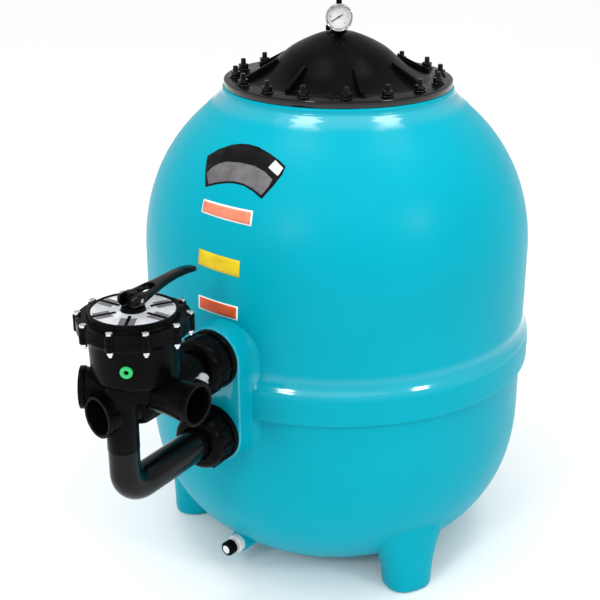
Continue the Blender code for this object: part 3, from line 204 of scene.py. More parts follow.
def gathered(works, shift=(0.0, 0.0, 0.0)):
    """Put several separate meshes in one, and move it."""
    whole = bmesh.new()
    for work in works:
        part = bpy.data.meshes.new("part")
        work.to_mesh(part)
        work.free()
        whole.from_mesh(part)
        bpy.data.meshes.remove(part)
    bmesh.ops.translate(whole, vec=shift, verts=whole.verts)
    return whole


def piece(made, name, body, finish, stands_for=(), smooth=32.0):
    """Name a form, give it its finish, and let it ride on a body of the filter."""
    if isinstance(made, bmesh.types.BMesh):
        made = as_object(made, name)
    made.name = name
    made.data.name = name
    made.data.materials.clear()
    made.data.materials.append(finish)
    made.data.shade_smooth()
    made.data.set_sharp_from_angle(angle=math.radians(smooth))
    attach(made, body)
    if stands_for:
        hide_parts(*stands_for)
    print(name, "has", len(made.data.polygons), "faces")
    return made


# %% [markdown]
# The finishes are all procedural, which means that nodes work them out and no picture is needed. A few
# small helpers keep the node code short: a noise, a spread of colours, a range of numbers and a bump.

# %% Helpers for nodes
def shader_of(name):
    """A new finish, its nodes and its shader."""
    finish = bpy.data.materials.new(name)
    finish.use_nodes = True
    return finish, finish.node_tree, finish.node_tree.nodes["Principled BSDF"]


def settings(node, values):
    """Give some inputs of a node their values."""
    for name, value in values.items():
        node.inputs[name].default_value = value


def noise(tree, scale, detail=3.0, stretch=(1.0, 1.0, 1.0)):
    """A noise texture on the piece's own coordinates."""
    place = tree.nodes.new("ShaderNodeTexCoord")
    mapping = tree.nodes.new("ShaderNodeMapping")
    settings(mapping, {"Scale": stretch})
    texture = tree.nodes.new("ShaderNodeTexNoise")
    settings(texture, {"Scale": scale, "Detail": detail})
    tree.links.new(place.outputs["Object"], mapping.inputs["Vector"])
    tree.links.new(mapping.outputs["Vector"], texture.inputs["Vector"])
    return texture.outputs["Fac"]


def spread(tree, source, low, high, dark, light):
    """Spread a grey value over two colours."""
    ramp = tree.nodes.new("ShaderNodeValToRGB")
    ramp.color_ramp.elements[0].position = low
    ramp.color_ramp.elements[1].position = high
    ramp.color_ramp.elements[0].color = (*dark, 1.0)
    ramp.color_ramp.elements[1].color = (*light, 1.0)
    tree.links.new(source, ramp.inputs["Fac"])
    return ramp.outputs["Color"]


def ranged(tree, source, low, high, start=0.3, end=0.7):
    """Map a grey value to a range of numbers."""
    node = tree.nodes.new("ShaderNodeMapRange")
    settings(node, {"From Min": start, "From Max": end, "To Min": low, "To Max": high})
    tree.links.new(source, node.inputs["Value"])
    return node.outputs["Result"]


def bump(tree, shader, source, strength, distance):
    """Let a grey value raise the surface a little, without changing the mesh."""
    node = tree.nodes.new("ShaderNodeBump")
    settings(node, {"Strength": strength, "Distance": distance})
    tree.links.new(source, node.inputs["Height"])
    tree.links.new(node.outputs["Normal"], shader.inputs["Normal"])


print("node helpers are ready for Blender", bpy.app.version_string)

# %% [markdown]
# Moulded plastic is never one flat colour: the colour drifts a little over a large part, fine grain breaks
# up the shine, and handling leaves duller patches. Three noise textures on Object coordinates give that.
# Values that are the same everywhere, such as how metallic it is, are set on the shader itself.

# %% Finishes for plastic, rubber, metal and print
def finish_of(name, dark, light, rough, grain=900.0, depth=0.00012, patch=6.0, metallic=0.0, shine=0.3,
              stretch=(1.0, 1.0, 1.0), strength=0.25):
    """A surface that drifts between two colours and two roughnesses, with a fine grain."""
    finish, tree, shader = shader_of(name)
    settings(shader, {"Metallic": metallic, "Specular IOR Level": shine})
    tree.links.new(spread(tree, noise(tree, patch), 0.35, 0.65, dark, light), shader.inputs["Base Color"])
    tree.links.new(ranged(tree, noise(tree, patch * 4.0, 4.0, stretch), *rough), shader.inputs["Roughness"])
    bump(tree, shader, noise(tree, grain, 2.0, stretch), strength, depth)
    return finish


TEAL = finish_of("teal_moulding", (0.0, 0.322, 0.418), (0.0, 0.356, 0.462), (0.28, 0.38), grain=420.0,
                 depth=0.0002, patch=3.0, shine=0.06, strength=0.10)
LID_BLACK = finish_of("lid_black", (0.0014, 0.0012, 0.0012), (0.0030, 0.0026, 0.0027), (0.24, 0.34),
                      grain=700.0, depth=0.0002, patch=9.0, shine=0.035)
SATIN_BLACK = finish_of("valve_black", (0.0016, 0.0016, 0.0018), (0.0032, 0.0032, 0.0035), (0.18, 0.30),
                        grain=1400.0, patch=25.0, shine=0.035)
PIPE_BLACK = finish_of("pipe_black", (0.0018, 0.0019, 0.0022), (0.0034, 0.0036, 0.0040), (0.07, 0.14),
                       grain=300.0, depth=0.0001, patch=18.0, shine=0.16, strength=0.1)
RUBBER = finish_of("seal_rubber", (0.012, 0.012, 0.012), (0.022, 0.022, 0.022), (0.65, 0.85))
BOLT_STEEL = finish_of("bolt_dark_steel", (0.010, 0.010, 0.011), (0.026, 0.026, 0.028), (0.16, 0.30),
                       metallic=0.8, patch=60.0)
BRIGHT_STEEL = finish_of("screw_bright_steel", (0.62, 0.62, 0.64), (0.80, 0.80, 0.82), (0.16, 0.30),
                         metallic=1.0, patch=80.0, stretch=(1.0, 1.0, 14.0))
CHROME = finish_of("gauge_chrome", (0.34, 0.35, 0.36), (0.48, 0.48, 0.50), (0.08, 0.16), metallic=1.0,
                   patch=50.0, strength=0.05)
CASE_STEEL = finish_of("gauge_steel", (0.40, 0.40, 0.42), (0.55, 0.55, 0.57), (0.24, 0.36), metallic=1.0,
                       patch=60.0)
DIAL_WHITE = finish_of("dial_white", (0.93, 0.93, 0.92), (0.98, 0.98, 0.97), (0.40, 0.50), patch=60.0)
PRINT_BLACK = finish_of("print_black", (0.01, 0.01, 0.01), (0.02, 0.02, 0.02), (0.4, 0.5), patch=60.0)
PLATE_SILVER = finish_of("plate_silver", (0.55, 0.58, 0.62), (0.80, 0.83, 0.86), (0.16, 0.32),
                         metallic=0.35, patch=40.0)
NATURAL = finish_of("natural_plastic", (0.66, 0.65, 0.60), (0.74, 0.73, 0.68), (0.40, 0.55), patch=12.0)
# This white is the drain fitting's own plastic, and also the painted highlight on the drain cap's end.
WHITE_PLASTIC_AND_GLINT = finish_of("drain_white", (0.70, 0.70, 0.70), (0.80, 0.80, 0.80), (0.28, 0.40), patch=30.0)
RED = finish_of("label_red", (0.74, 0.20, 0.11), (0.82, 0.26, 0.15), (0.30, 0.42), patch=40.0)
YELLOW = finish_of("label_yellow", (0.64, 0.46, 0.002), (0.74, 0.55, 0.006), (0.30, 0.42), patch=40.0)
ORANGE = finish_of("label_orange", (0.54, 0.060, 0.008), (0.64, 0.085, 0.014), (0.30, 0.42), patch=40.0)
LABEL_WHITE = finish_of("label_white", (0.82, 0.82, 0.80), (0.90, 0.90, 0.88), (0.30, 0.42), patch=40.0)
# This grey is the plate panel's print, and also the painted shade beside the ribs of the sector ring.
GREY_PRINT_AND_RIB_SHADE = finish_of("grey_print_and_rib_shade", (0.105, 0.098, 0.105), (0.150, 0.142, 0.150), (0.30, 0.45), patch=60.0)
LABEL_BLACK = finish_of("label_black", (0.003, 0.003, 0.004), (0.007, 0.007, 0.008), (0.30, 0.42),
                        patch=40.0, shine=0.08)
GREEN = finish_of("ring_green", (0.02, 0.45, 0.12), (0.03, 0.55, 0.16), (0.28, 0.40), patch=60.0)
print("finishes so far:", len(bpy.data.materials))

# %% [markdown]
# Light runs in bright streaks along the filter's rounded corners: under the lid, on the band and on the
# pad. Those places get a glossy coat, and the dull wall beside them keeps its own look. A colour ramp over
# the height says where the coat lies.

# %% Glossy coat on the rounded corners
BAND_SHINE = (0.394, 0.401, 0.418, 0.430)
NECK_SHINE = (0.780, 0.787, 0.799, 0.804)
FLANGE_SHINE = (0.805, 0.808, 0.818, 0.820)
PAD_SHINE = TANK_AXIS.y - 0.355


def polished(finish, bands, front=None):
    """Coat a finish over some bands of height, and in front of a place along Y."""
    tree, shader = finish.node_tree, finish.node_tree.nodes["Principled BSDF"]
    place = tree.nodes.new("ShaderNodeTexCoord")
    split = tree.nodes.new("ShaderNodeSeparateXYZ")
    tree.links.new(place.outputs["Object"], split.inputs["Vector"])
    ramp = tree.nodes.new("ShaderNodeValToRGB")
    stops = ramp.color_ramp.elements
    stops[0].color, stops[1].color = (0, 0, 0, 1), (0, 0, 0, 1)
    for band in bands:
        for position, level in zip(band, (0.0, 1.0, 1.0, 0.0)):
            stops.new(position).color = (level, level, level, 1.0)
    tree.links.new(split.outputs["Z"], ramp.inputs["Fac"])
    coat = ramp.outputs["Color"]
    if front is not None:
        more = tree.nodes.new("ShaderNodeMath")
        more.operation = "MAXIMUM"
        tree.links.new(coat, more.inputs[0])
        tree.links.new(ranged(tree, split.outputs["Y"], 1.0, 0.0, front - 0.003, front), more.inputs[1])
        coat = more.outputs["Value"]
    tree.links.new(coat, shader.inputs["Coat Weight"])
    settings(shader, {"Coat Roughness": 0.10})


polished(TEAL, [BAND_SHINE, NECK_SHINE], PAD_SHINE)
polished(LID_BLACK, [FLANGE_SHINE])
print("the neck is glossy from", NECK_SHINE[1], "to", NECK_SHINE[2], "m")

# %% [markdown]
# The gauge's lens and the sight glass are clear. Real refraction would need many light bounces to show the
# dial, so both let most light straight through, and only their gloss tells that they are there.

# %% Clear plastic
def clear_finish(name, dark, light, rough, solid):
    """A see-through plastic: most of the light passes, and a share of it stops at the surface."""
    finish, tree, shader = shader_of(name)
    settings(shader, {"Alpha": solid})
    tree.links.new(spread(tree, noise(tree, 30.0), 0.3, 0.7, dark, light), shader.inputs["Base Color"])
    tree.links.new(ranged(tree, noise(tree, 80.0), *rough), shader.inputs["Roughness"])
    return finish


CLEAR = clear_finish("clear_lens", (0.97, 0.99, 1.0), (1.0, 1.0, 1.0), (0.02, 0.06), 0.04)
CLEAR_CAP = clear_finish("clear_cap", (0.36, 0.40, 0.42), (0.58, 0.62, 0.64), (0.05, 0.15), 0.58)
print("finishes:", len(bpy.data.materials))

# %% [markdown]
# The tank is moulded in one piece, with a straight wall between a tall shoulder and a deep dome. Circles and
# ellipses don't fit its outline, but a superellipse does: one power sets how full the corner is. The outline
# goes down the inside first, over the rim, and then down the outside.

# %% Tank outline
SHOULDER_RISE, SHOULDER_POWER = 0.3052, 2.135
DOME_DROP, DOME_POWER = 0.2785, 2.366
CROWN_RADIUS, CROWN_HEIGHT = 0.220, 0.015
NECK_FOOT = 0.222
BAND_RADIUS = 0.3355


def swell(part, power):
    """The share of a superellipse's rise that is left at a share of its radius."""
    return max(0.0, 1.0 - part ** power) ** (1.0 / power)


def shoulder_height(radius):
    """The height of the shoulder at a radius."""
    return WALL_TOP + SHOULDER_RISE * swell(radius / TANK_RADIUS, SHOULDER_POWER)


def dome_height(radius):
    """The height of the lower dome at a radius. Its middle is flatter, from the crown's edge inwards."""
    edge = WALL_BOTTOM - DOME_DROP * swell(CROWN_RADIUS / TANK_RADIUS, DOME_POWER)
    if radius >= CROWN_RADIUS:
        return WALL_BOTTOM - DOME_DROP * swell(radius / TANK_RADIUS, DOME_POWER)
    slope = (dome_height(CROWN_RADIUS + 0.001) - edge) / 0.001
    power = slope * CROWN_RADIUS / (edge - CROWN_HEIGHT)
    return CROWN_HEIGHT + (edge - CROWN_HEIGHT) * (radius / CROWN_RADIUS) ** power


def tank_outline():
    """The whole outline as (radius, height) points, inside first."""
    inner = TANK_RADIUS - TANK_WALL
    inside = [(0.0, 0.024), (0.150, 0.026), (0.240, 0.075), (0.295, 0.150), (inner, WALL_BOTTOM),
              (inner, WALL_TOP), (0.298, 0.640), (0.262, 0.700), (NECK_BORE, 0.7783), (NECK_BORE, NECK_TOP)]
    rim = [(0.1517, NECK_TOP), (0.1517, 0.804), (0.1573, 0.804), (0.1573, NECK_TOP), (0.1865, NECK_TOP),
           (0.1886, 0.8076), (0.1894, 0.8058)]
    rim += flowing([(0.1896, 0.8050), (0.1905, 0.7983), (0.1975, 0.7918), (0.2075, 0.7818),
                    (0.2170, 0.7735)], 4)
    shoulder = []
    for i in range(30):
        radius = NECK_FOOT + (TANK_RADIUS - NECK_FOOT) * math.sin(math.pi / 2.0 * i / 30)
        shoulder.append((radius, shoulder_height(radius)))
    shoulder.append((TANK_RADIUS, WALL_TOP))
    band = flowing([(TANK_RADIUS, 0.424), (0.3256, 0.417), (0.3290, 0.408), (0.3336, 0.400), (0.3352, 0.392),
                    (BAND_RADIUS, 0.384)], 4)
    band += flowing([(BAND_RADIUS, 0.356), (0.3350, 0.3518), (0.3335, 0.3502)], 3)
    band += [(0.3262, 0.3498), (TANK_RADIUS, 0.348), (TANK_RADIUS, WALL_BOTTOM)]
    dome = []
    for i in range(1, 34):
        radius = TANK_RADIUS * math.sin(math.pi / 2.0 * (1.0 - 0.52 * i / 33))
        dome.append((radius, dome_height(radius)))
    crown = [(CROWN_RADIUS * part, dome_height(CROWN_RADIUS * part))
             for part in (0.95, 0.88, 0.8, 0.7, 0.55, 0.3, 0.0)]
    return inside + rim + shoulder + band + dome + crown


print("the tank's outline has", len(tank_outline()), "points")

# %% [markdown]
# A moulded foot isn't turned: it is narrow at the floor and widens as it climbs into the dome. A stack of
# rings gives such a form, bridged one to the next, and the same helper makes the pad under the unions. The
# rings of a foot are squarer than circles, which is what a power below one does to one.

# %% Feet and pad
FOOT_REACH, FOOT_ACROSS, FOOT_DEEP = 0.260, 0.043, 0.037
PAD_RADIUS = 0.0489
PAD_BACK = 0.3155


def ring_edges(ring):
    """The edges between neighbours on a ring of points."""
    members = set(ring)
    return [edge for vert in ring for edge in vert.link_edges
            if edge.verts[0] == vert and edge.verts[1] in members]


def closed_up(work):
    """Close every open ring of edges, and turn all faces outwards."""
    bmesh.ops.holes_fill(work, edges=[edge for edge in work.edges if edge.is_boundary], sides=0)
    bmesh.ops.recalc_face_normals(work, faces=work.faces)
    return work


def bridge_all(work, rings):
    """Bridge rings one to the next and close both ends."""
    for low, high in zip(rings, rings[1:]):
        bmesh.ops.bridge_loops(work, edges=ring_edges(low) + ring_edges(high))
    return closed_up(work)


def foot(angle):
    """One moulded foot, from levels of (height, shift outwards, width, depth)."""
    out, along = compass(angle), compass(angle + 90.0)
    levels = flowing([(0.000, -0.002, 0.78, 0.80), (0.0015, -0.001, 0.86, 0.88), (0.006, 0.001, 0.93, 0.96),
                      (0.038, -0.001, 0.99, 1.04), (0.075, -0.009, 1.22, 1.29), (0.110, -0.022, 1.64, 1.64),
                      (0.150, -0.042, 2.20, 2.05)], 4)
    work = bmesh.new()
    rings = []
    for height, shift, wide, deep in levels:
        ring = bmesh.ops.create_circle(work, cap_ends=False, radius=1.0, segments=40)["verts"]
        for vert in ring:
            across = math.copysign(abs(vert.co.x) ** 0.8, vert.co.x) * FOOT_ACROSS * wide
            away = math.copysign(abs(vert.co.y) ** 0.8, vert.co.y) * FOOT_DEEP * deep
            vert.co = TANK_AXIS + out * (FOOT_REACH + shift + away) + along * across + UP * height
        rings.append(ring)
    return bridge_all(work, rings)


def pad():
    """The flat boss under both unions: a half-round, a straight and a half-round, flared at its root."""
    work = bmesh.new()
    half = (UPPER - LOWER) / 2.0
    rings = []
    levels = flowing([(0.0, 0.0630), (0.005, 0.0580), (0.010, 0.0542), (0.016, 0.0515), (0.024, 0.0497),
                      (0.034, 0.0490), (0.0415, 0.0487), (0.0436, 0.0481), (0.0445, 0.0465)], 3)
    for depth, wide in levels:
        ring = bmesh.ops.create_circle(work, cap_ends=False, radius=wide, segments=96)["verts"]
        flat = (PAD_RADIUS + (wide - PAD_RADIUS) * 0.5) / wide
        for vert in ring:
            vert.co.y = vert.co.y * flat + (half if vert.co.y > 0.0 else -half)
            vert.co.z = depth
        rings.append(ring)
    bridge_all(work, rings)
    middle = TANK_AXIS + UP * (UPPER + LOWER) / 2.0 + OUT * PAD_BACK
    bmesh.ops.transform(work, matrix=facing(compass(0.0), UP, OUT, middle), verts=work.verts)
    return work


print("the pad is", round(UPPER - LOWER + 2.0 * PAD_RADIUS, 3), "m high")

# %% [markdown]
# Feet, pad and drain boss are joined to the turned wall. The bores for the unions, the drain and the lid's
# studs are cut afterwards, so that they go through everything that was joined.

# %% Tank
BOLT_CIRCLE, FIRST_BOLT, BOLT_HOLE = 0.1675, 12.7, 0.0057
BOLTS = [TANK_AXIS + compass(FIRST_BOLT + 22.5 * i) * BOLT_CIRCLE for i in range(16)]
DRAIN_AT = TANK_AXIS + UP * 0.058
DRAIN_WAY = compass(-97.0)
tank = as_object(spun(tank_outline(), 180), "tank")
extras = [foot(-30.0 + 120.0 * i) for i in range(3)]
extras.append(pad())
extras.append(crisp(rod(0.018, 0.228, 0.262, 40, DRAIN_AT, DRAIN_WAY), 0.0012))
combine(tank, extras)
holes = [rod(0.0243, 0.275, 0.370, 32, TANK_AXIS + UP * height, OUT) for height in (UPPER, LOWER)]
holes.append(rod(0.0088, 0.208, 0.272, 20, DRAIN_AT, DRAIN_WAY))
holes.append(gathered([rod(BOLT_HOLE, 0.788, 0.818, 12, place) for place in BOLTS]))
combine(tank, holes, "DIFFERENCE")
piece(tank, "tank", "filter", TEAL, ["tank_shell"], 28.0)

# %% [markdown]
# The lid is a heavy black moulding: a flange that takes the studs, a low dome, and gussets that stiffen the
# join between them. Flange and dome are spun as one outline. The gussets are thin slabs that slope down to
# the flange, with their edges rounded before they are joined, because a mould has no sharp edge either.

# %% Lid
LID_BOTTOM, LID_TOP = 0.8086, 0.8196
LID_RADIUS = 0.1870
GUSSET_INNER, GUSSET_OUTER, GUSSET_HALF = 0.100, 0.154, 0.003
GUSSET_RISE, GUSSET_TOE, GUSSET_ROOT = 0.0345, 0.006, 0.004
DOME = [(0.0, 0.0734), (0.015, 0.0731), (0.029, 0.0707), (0.053, 0.0612), (0.0775, 0.0480), (0.0958, 0.0330),
        (0.114, 0.0176), (0.1322, 0.0070), (0.1455, 0.0017), (0.152, 0.0)]


def gusset(angle):
    """A thin upright web between the lid's flange and its dome, low at its outer end."""
    work = slab((GUSSET_INNER, -GUSSET_HALF, LID_TOP - GUSSET_ROOT),
                (GUSSET_OUTER, GUSSET_HALF, LID_TOP + GUSSET_RISE))
    for vert in work.verts:
        if vert.co.z > LID_TOP and vert.co.x > (GUSSET_INNER + GUSSET_OUTER) / 2.0:
            vert.co.z = LID_TOP + GUSSET_TOE
    crisp(work, 0.0012, 2, 20.0)
    turn = Matrix.Rotation(math.radians(angle), 4, "Z")
    about_axis = Matrix.Translation(TANK_AXIS) @ turn @ Matrix.Translation(-TANK_AXIS)
    bmesh.ops.transform(work, matrix=about_axis, verts=work.verts)
    return work


dome_line = [(radius, LID_TOP + height) for radius, height in flowing(DOME, 4)]
flange_line = [(0.1852, LID_TOP), (0.1865, LID_TOP - 0.0005), (LID_RADIUS, LID_TOP - 0.0018),
               (LID_RADIUS, LID_BOTTOM + 0.0012), (0.1864, LID_BOTTOM), (0.1470, LID_BOTTOM)]
under_line = [(0.1470, LID_BOTTOM - 0.006), (0.1380, LID_BOTTOM - 0.006), (0.104, LID_BOTTOM + 0.028),
              (0.052, LID_BOTTOM + 0.058), (0.0, LID_BOTTOM + 0.074)]
lid = as_object(spun(dome_line + flange_line + under_line, 180), "lid")
lid_extras = [gusset(45.0 * i) for i in range(8)]
lid_extras.append(crisp(rod(0.0155, LID_TOP + 0.060, LID_TOP + 0.0739, 40), 0.001))
combine(lid, lid_extras)
lid_holes = [rod(0.0073, LID_TOP, LID_TOP + 0.10, 20),
             gathered([rod(BOLT_HOLE, 0.79, 0.83, 12, place) for place in BOLTS])]
combine(lid, lid_holes, "DIFFERENCE")
piece(lid, "lid_moulding", "filter", LID_BLACK, ["lid"], 30.0)

# %% [markdown]
# A stud stands in each hole of the lid, with a washer and a nut. The thread is one small triangle of an
# outline that climbs as it spins. Sixteen copies share one mesh, so the shape is kept small.

# %% Lid studs, nuts and washers
def thread(radius, low, high, pitch, steps=12):
    """A climbing ridge on a bar, closed at both ends by the bar it is sunk into."""
    work = bmesh.new()
    ridge = [(radius - 0.0004, low), (radius + 0.0004, low + pitch * 0.35),
             (radius - 0.0004, low + pitch * 0.7)]
    dots = [work.verts.new((away, 0.0, height)) for away, height in ridge]
    lines = [work.edges.new(pair) for pair in zip(dots, dots[1:] + dots[:1])]
    turns = max(1.0, (high - low - pitch) / pitch)
    count = int(steps * turns)
    bmesh.ops.spin(work, geom=dots + lines, cent=(0, 0, 0), axis=(0, 0, 1), dvec=(0, 0, pitch / steps),
                   steps=count, angle=2.0 * math.pi * count / steps)
    return closed_up(work)


def lid_stud(place):
    """A washer, a nut and a threaded stud that reaches down into the neck."""
    base = LID_TOP + GAP
    parts = [crisp(rod(0.0105, base, base + 0.0018, 28, Vector()), 0.0004, 1),
             crisp(rod(0.0085, base + 0.0018, base + 0.0098, 6, Vector()), 0.0007, 2),
             crisp(rod(0.0041, 0.7903, base + 0.0188, 14, Vector()), 0.0010, 2, 60.0),
             thread(0.0042, base + 0.0099, base + 0.0176, 0.00125)]
    return gathered(parts, place)


piece(gathered([lid_stud(place) for place in BOLTS]), "lid_studs", "filter", BOLT_STEEL,
      ["lid_bolt_{:02d}".format(i + 1) for i in range(16)])

# %% [markdown]
# The gauge is small, but it is what the eye finds first: a chrome bezel and a white dial with a dark needle.
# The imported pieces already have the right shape, so the round ones are only spun with more steps. The needle
# turns, so it stays as it is on its own body.

# %% Gauge
GAUGE_WAY = compass(-58.0)
GAUGE_AT = TANK_AXIS + UP * 0.919
CASE_BACK = 0.0145
CASE_FRONT = CASE_BACK + 0.0165
DIAL_FACE = CASE_BACK + 0.0050 + GAP + 0.0010
case = spun([(0.0012, 0.0195), (0.0189, 0.0195), (0.0189, CASE_FRONT), (0.0205, CASE_FRONT),
             (0.0205, 0.0175), (0.0200, 0.0158), (0.0185, CASE_BACK), (0.0046, CASE_BACK), (0.0046, 0.0025),
             (0.0, 0.0025), (0.0, 0.0165), (0.0012, 0.0165)], 72, True, GAUGE_AT, GAUGE_WAY)
piece(case, "gauge_case_fine", "filter", CASE_STEEL, ["gauge_case"])
lip = CASE_FRONT + GAP + 0.0015 + GAP
bezel = spun([(0.0190, lip), (0.0191, lip + 0.0004)]
             + flowing([(0.0195, lip + 0.0010), (0.0204, lip + 0.0014), (0.0212, lip + 0.0008),
                        (0.0216, lip - 0.0008)], 4)
             + [(0.0216, CASE_FRONT - 0.006), (0.0208, CASE_FRONT - 0.006), (0.0208, lip)],
             72, True, GAUGE_AT, GAUGE_WAY)
piece(bezel, "gauge_bezel_fine", "filter", CHROME, ["gauge_bezel"])
lens = rod(0.0199, CASE_FRONT + GAP, CASE_FRONT + GAP + 0.0015, 72, GAUGE_AT, GAUGE_WAY)
piece(lens, "gauge_lens_fine", "filter", CLEAR, ["gauge_lens"])
dial = spun([(0.0014, DIAL_FACE), (0.0186, DIAL_FACE), (0.0186, DIAL_FACE - 0.001),
             (0.0014, DIAL_FACE - 0.001)], 72, True, GAUGE_AT, GAUGE_WAY)
piece(dial, "gauge_dial_fine", "filter", DIAL_WHITE, ["gauge_dial"])

# %% [markdown]
# The scale is printed on the real dial. Here it is a fan of thin flat strokes, every fifth one longer and
# wider. They are one mesh, because nothing moves one without the others.

# %% Scale of the dial
DIAL_RIGHT = compass(32.0)
SCALE_START = -132.0
SCALE_STEP = 9.0


def stroke(angle, inner, outer, width):
    """A short flat stroke of print that points at the dial's middle."""
    work = slab((-width / 2.0, inner, 0.0), (width / 2.0, outer, 0.00012), Vector())
    turn = math.radians(angle)
    up = DIAL_RIGHT * math.sin(turn) + UP * math.cos(turn)
    side = DIAL_RIGHT * math.cos(turn) - UP * math.sin(turn)
    middle = GAUGE_AT + GAUGE_WAY * DIAL_FACE
    bmesh.ops.transform(work, matrix=facing(side, up, GAUGE_WAY, middle), verts=work.verts)
    return work


strokes = []
for i in range(31):
    inner, width = (0.0128, 0.0007) if i % 5 == 0 else (0.0142, 0.0003)
    strokes.append(stroke(SCALE_START + SCALE_STEP * i, inner, 0.0158, width))
piece(gathered(strokes), "dial_scale", "filter", PRINT_BLACK)

# %% [markdown]
# The column carries the gauge. A stub stands on it, and two small bores go in from the side: one for the
# gauge's neck and one for the bleed screw.

# %% Gauge column
column = spun([(0.0, 0.950), (0.0030, 0.950), (0.0042, 0.9492), (0.0046, 0.9480), (0.0046, 0.9330),
               (0.0080, 0.9318), (0.0092, 0.9310), (0.0095, 0.9298), (0.0095, 0.9010), (0.0100, 0.8985),
               (0.0125, 0.8972), (0.0125, 0.8938), (0.0070, 0.8938), (0.0070, 0.8850), (0.0, 0.8850)], 56)
column = as_object(column, "column")
combine(column, [rod(0.0049, 0.002, 0.02, 20, GAUGE_AT, GAUGE_WAY),
                 rod(0.0025, 0.003, 0.02, 16, TANK_AXIS + UP * 0.8985, compass(-148.0))], "DIFFERENCE")
piece(column, "gauge_column_fine", "filter", SATIN_BLACK, ["gauge_column"])

# %% [markdown]
# The valve's cover is the part people look at: a scalloped edge with a screw in every lobe, a raised drum
# and a sector ring behind black ribs. It is spun once, and its lobes and ribs are joined to it.

# %% Valve cover
JOINT = 0.5733
COVER_LOW, COVER_TOP = 0.5736, 0.5856
DRUM_TOP, DRUM_FLOOR = 0.5946, 0.5911
HUB_CROWN = 0.5984
COVER_RADIUS, LOBE_RADIUS = 0.0785, 0.0066
SCREW_CIRCLE, FIRST_SCREW, SCREW_HOLE = 0.0765, -74.3, 0.0034
SCREWS = [VALVE_AXIS + compass(FIRST_SCREW + 36.0 * i) * SCREW_CIRCLE for i in range(10)]
RIB_TURNS = [60.0 * (i + 0.5) - 90.0 for i in range(6)]
hub_line = [(0.0091, HUB_CROWN), (0.0152, HUB_CROWN), (0.0162, HUB_CROWN - 0.0004),
            (0.0165, HUB_CROWN - 0.0012), (0.0175, DRUM_FLOOR)]
drum_line = [(0.0585, DRUM_FLOOR), (0.0589, DRUM_TOP - 0.0004), (0.0593, DRUM_TOP), (0.0620, DRUM_TOP),
             (0.0627, DRUM_TOP - 0.0006), (0.0643, COVER_TOP + 0.0006)]
edge_line = [(0.0650, COVER_TOP), (0.0778, COVER_TOP), (COVER_RADIUS, COVER_TOP - 0.0007),
             (COVER_RADIUS, COVER_LOW), (0.0570, COVER_LOW), (0.0550, COVER_LOW + 0.007),
             (0.0091, COVER_LOW + 0.007)]
cover = as_object(spun(hub_line + drum_line + edge_line, 144, True, VALVE_AXIS), "cover")
cover_extras = [crisp(rod(LOBE_RADIUS, COVER_LOW, COVER_TOP, 32, place), 0.0006) for place in SCREWS]
for turn in RIB_TURNS:
    rib = slab((0.0250, -0.0020, DRUM_FLOOR - 0.001), (0.0608, 0.0020, DRUM_TOP - 0.0002), VALVE_AXIS, turn)
    cover_extras.append(crisp(rib, 0.0006, 2))
combine(cover, cover_extras)
combine(cover, [gathered([rod(SCREW_HOLE, 0.565, 0.60, 16, place) for place in SCREWS])], "DIFFERENCE")
piece(cover, "valve_cover_fine", "filter", SATIN_BLACK, ["valve_cover"])

# %% [markdown]
# The bright ring under the ribs has a sector for each of the valve's settings. Its sectors stay bare, and a
# grey field of painted shade lies on both sides of each rib, where the rib shades the ring. Ring and fields
# are spun, and then cut where the ribs stand.

# %% Sector ring
def sector_band(inner, outer, low, high, steps, name):
    """A flat ring that lies on the drum's floor."""
    outline = [(inner, DRUM_FLOOR + high), (outer, DRUM_FLOOR + high), (outer, DRUM_FLOOR + low),
               (inner, DRUM_FLOOR + low)]
    return as_object(spun(outline, steps, True, VALVE_AXIS), name)


def bars_at_ribs(half, inner):
    """Upright bars along every rib, to cut with."""
    return [slab((inner, -half, 0.58), (0.0670, half, 0.60), VALVE_AXIS, turn) for turn in RIB_TURNS]


ring = sector_band(0.0180, 0.0579, GAP, 0.0018, 144, "ring")
combine(ring, bars_at_ribs(0.0024, 0.0245), "DIFFERENCE")
piece(ring, "sector_ring", "filter", PLATE_SILVER, ["position_plate"])

# The grey fields are painted shade, where the ribs shade the ring.
fields = sector_band(0.0330, 0.0560, 0.00185, 0.0021, 120, "fields")
combine(fields, [gathered(bars_at_ribs(0.0110, 0.0300))], "INTERSECT")
combine(fields, bars_at_ribs(0.0024, 0.0245), "DIFFERENCE")
piece(fields, "ring_painted_rib_shade", "filter", GREY_PRINT_AND_RIB_SHADE)

# %% [markdown]
# Each lobe of the cover takes a bright screw, with its nut under the flange of the body. The screw runs free
# in its hole, as on the real valve.

# %% Cover screws
def cover_screw(place):
    """A screw through cover and body, with its nut under the flange."""
    head = COVER_TOP + GAP
    nut = JOINT - 0.0105 - GAP
    parts = [crisp(rod(0.0052, head, head + 0.0045, 6, Vector()), 0.0006, 2),
             crisp(rod(0.0048, nut - 0.0045, nut, 6, Vector()), 0.0004, 1),
             rod(0.0026, nut - 0.0075, head + 0.001, 12, Vector())]
    return gathered(parts, place)


piece(gathered([cover_screw(place) for place in SCREWS]), "cover_screws", "filter", BRIGHT_STEEL,
      ["cover_screw_{:02d}".format(i + 1) for i in range(10)])

# %% [markdown]
# A pipe goes into each open port: one points right, one to the front and one to the left. A port has a thick
# lip and a neck that narrows towards the manifold. Its passage is a second spun form with a slanted mouth,
# because a Boolean is safest when no ring of the tool lies in the flat face that it cuts through.

# %% Ports of the valve
PORT_HEIGHT = 0.4765
PORTS = [(0.1066, 0.0, PORT_HEIGHT), (0.070, -103.5, 0.4525), (0.079, -146.0, PORT_HEIGHT)]


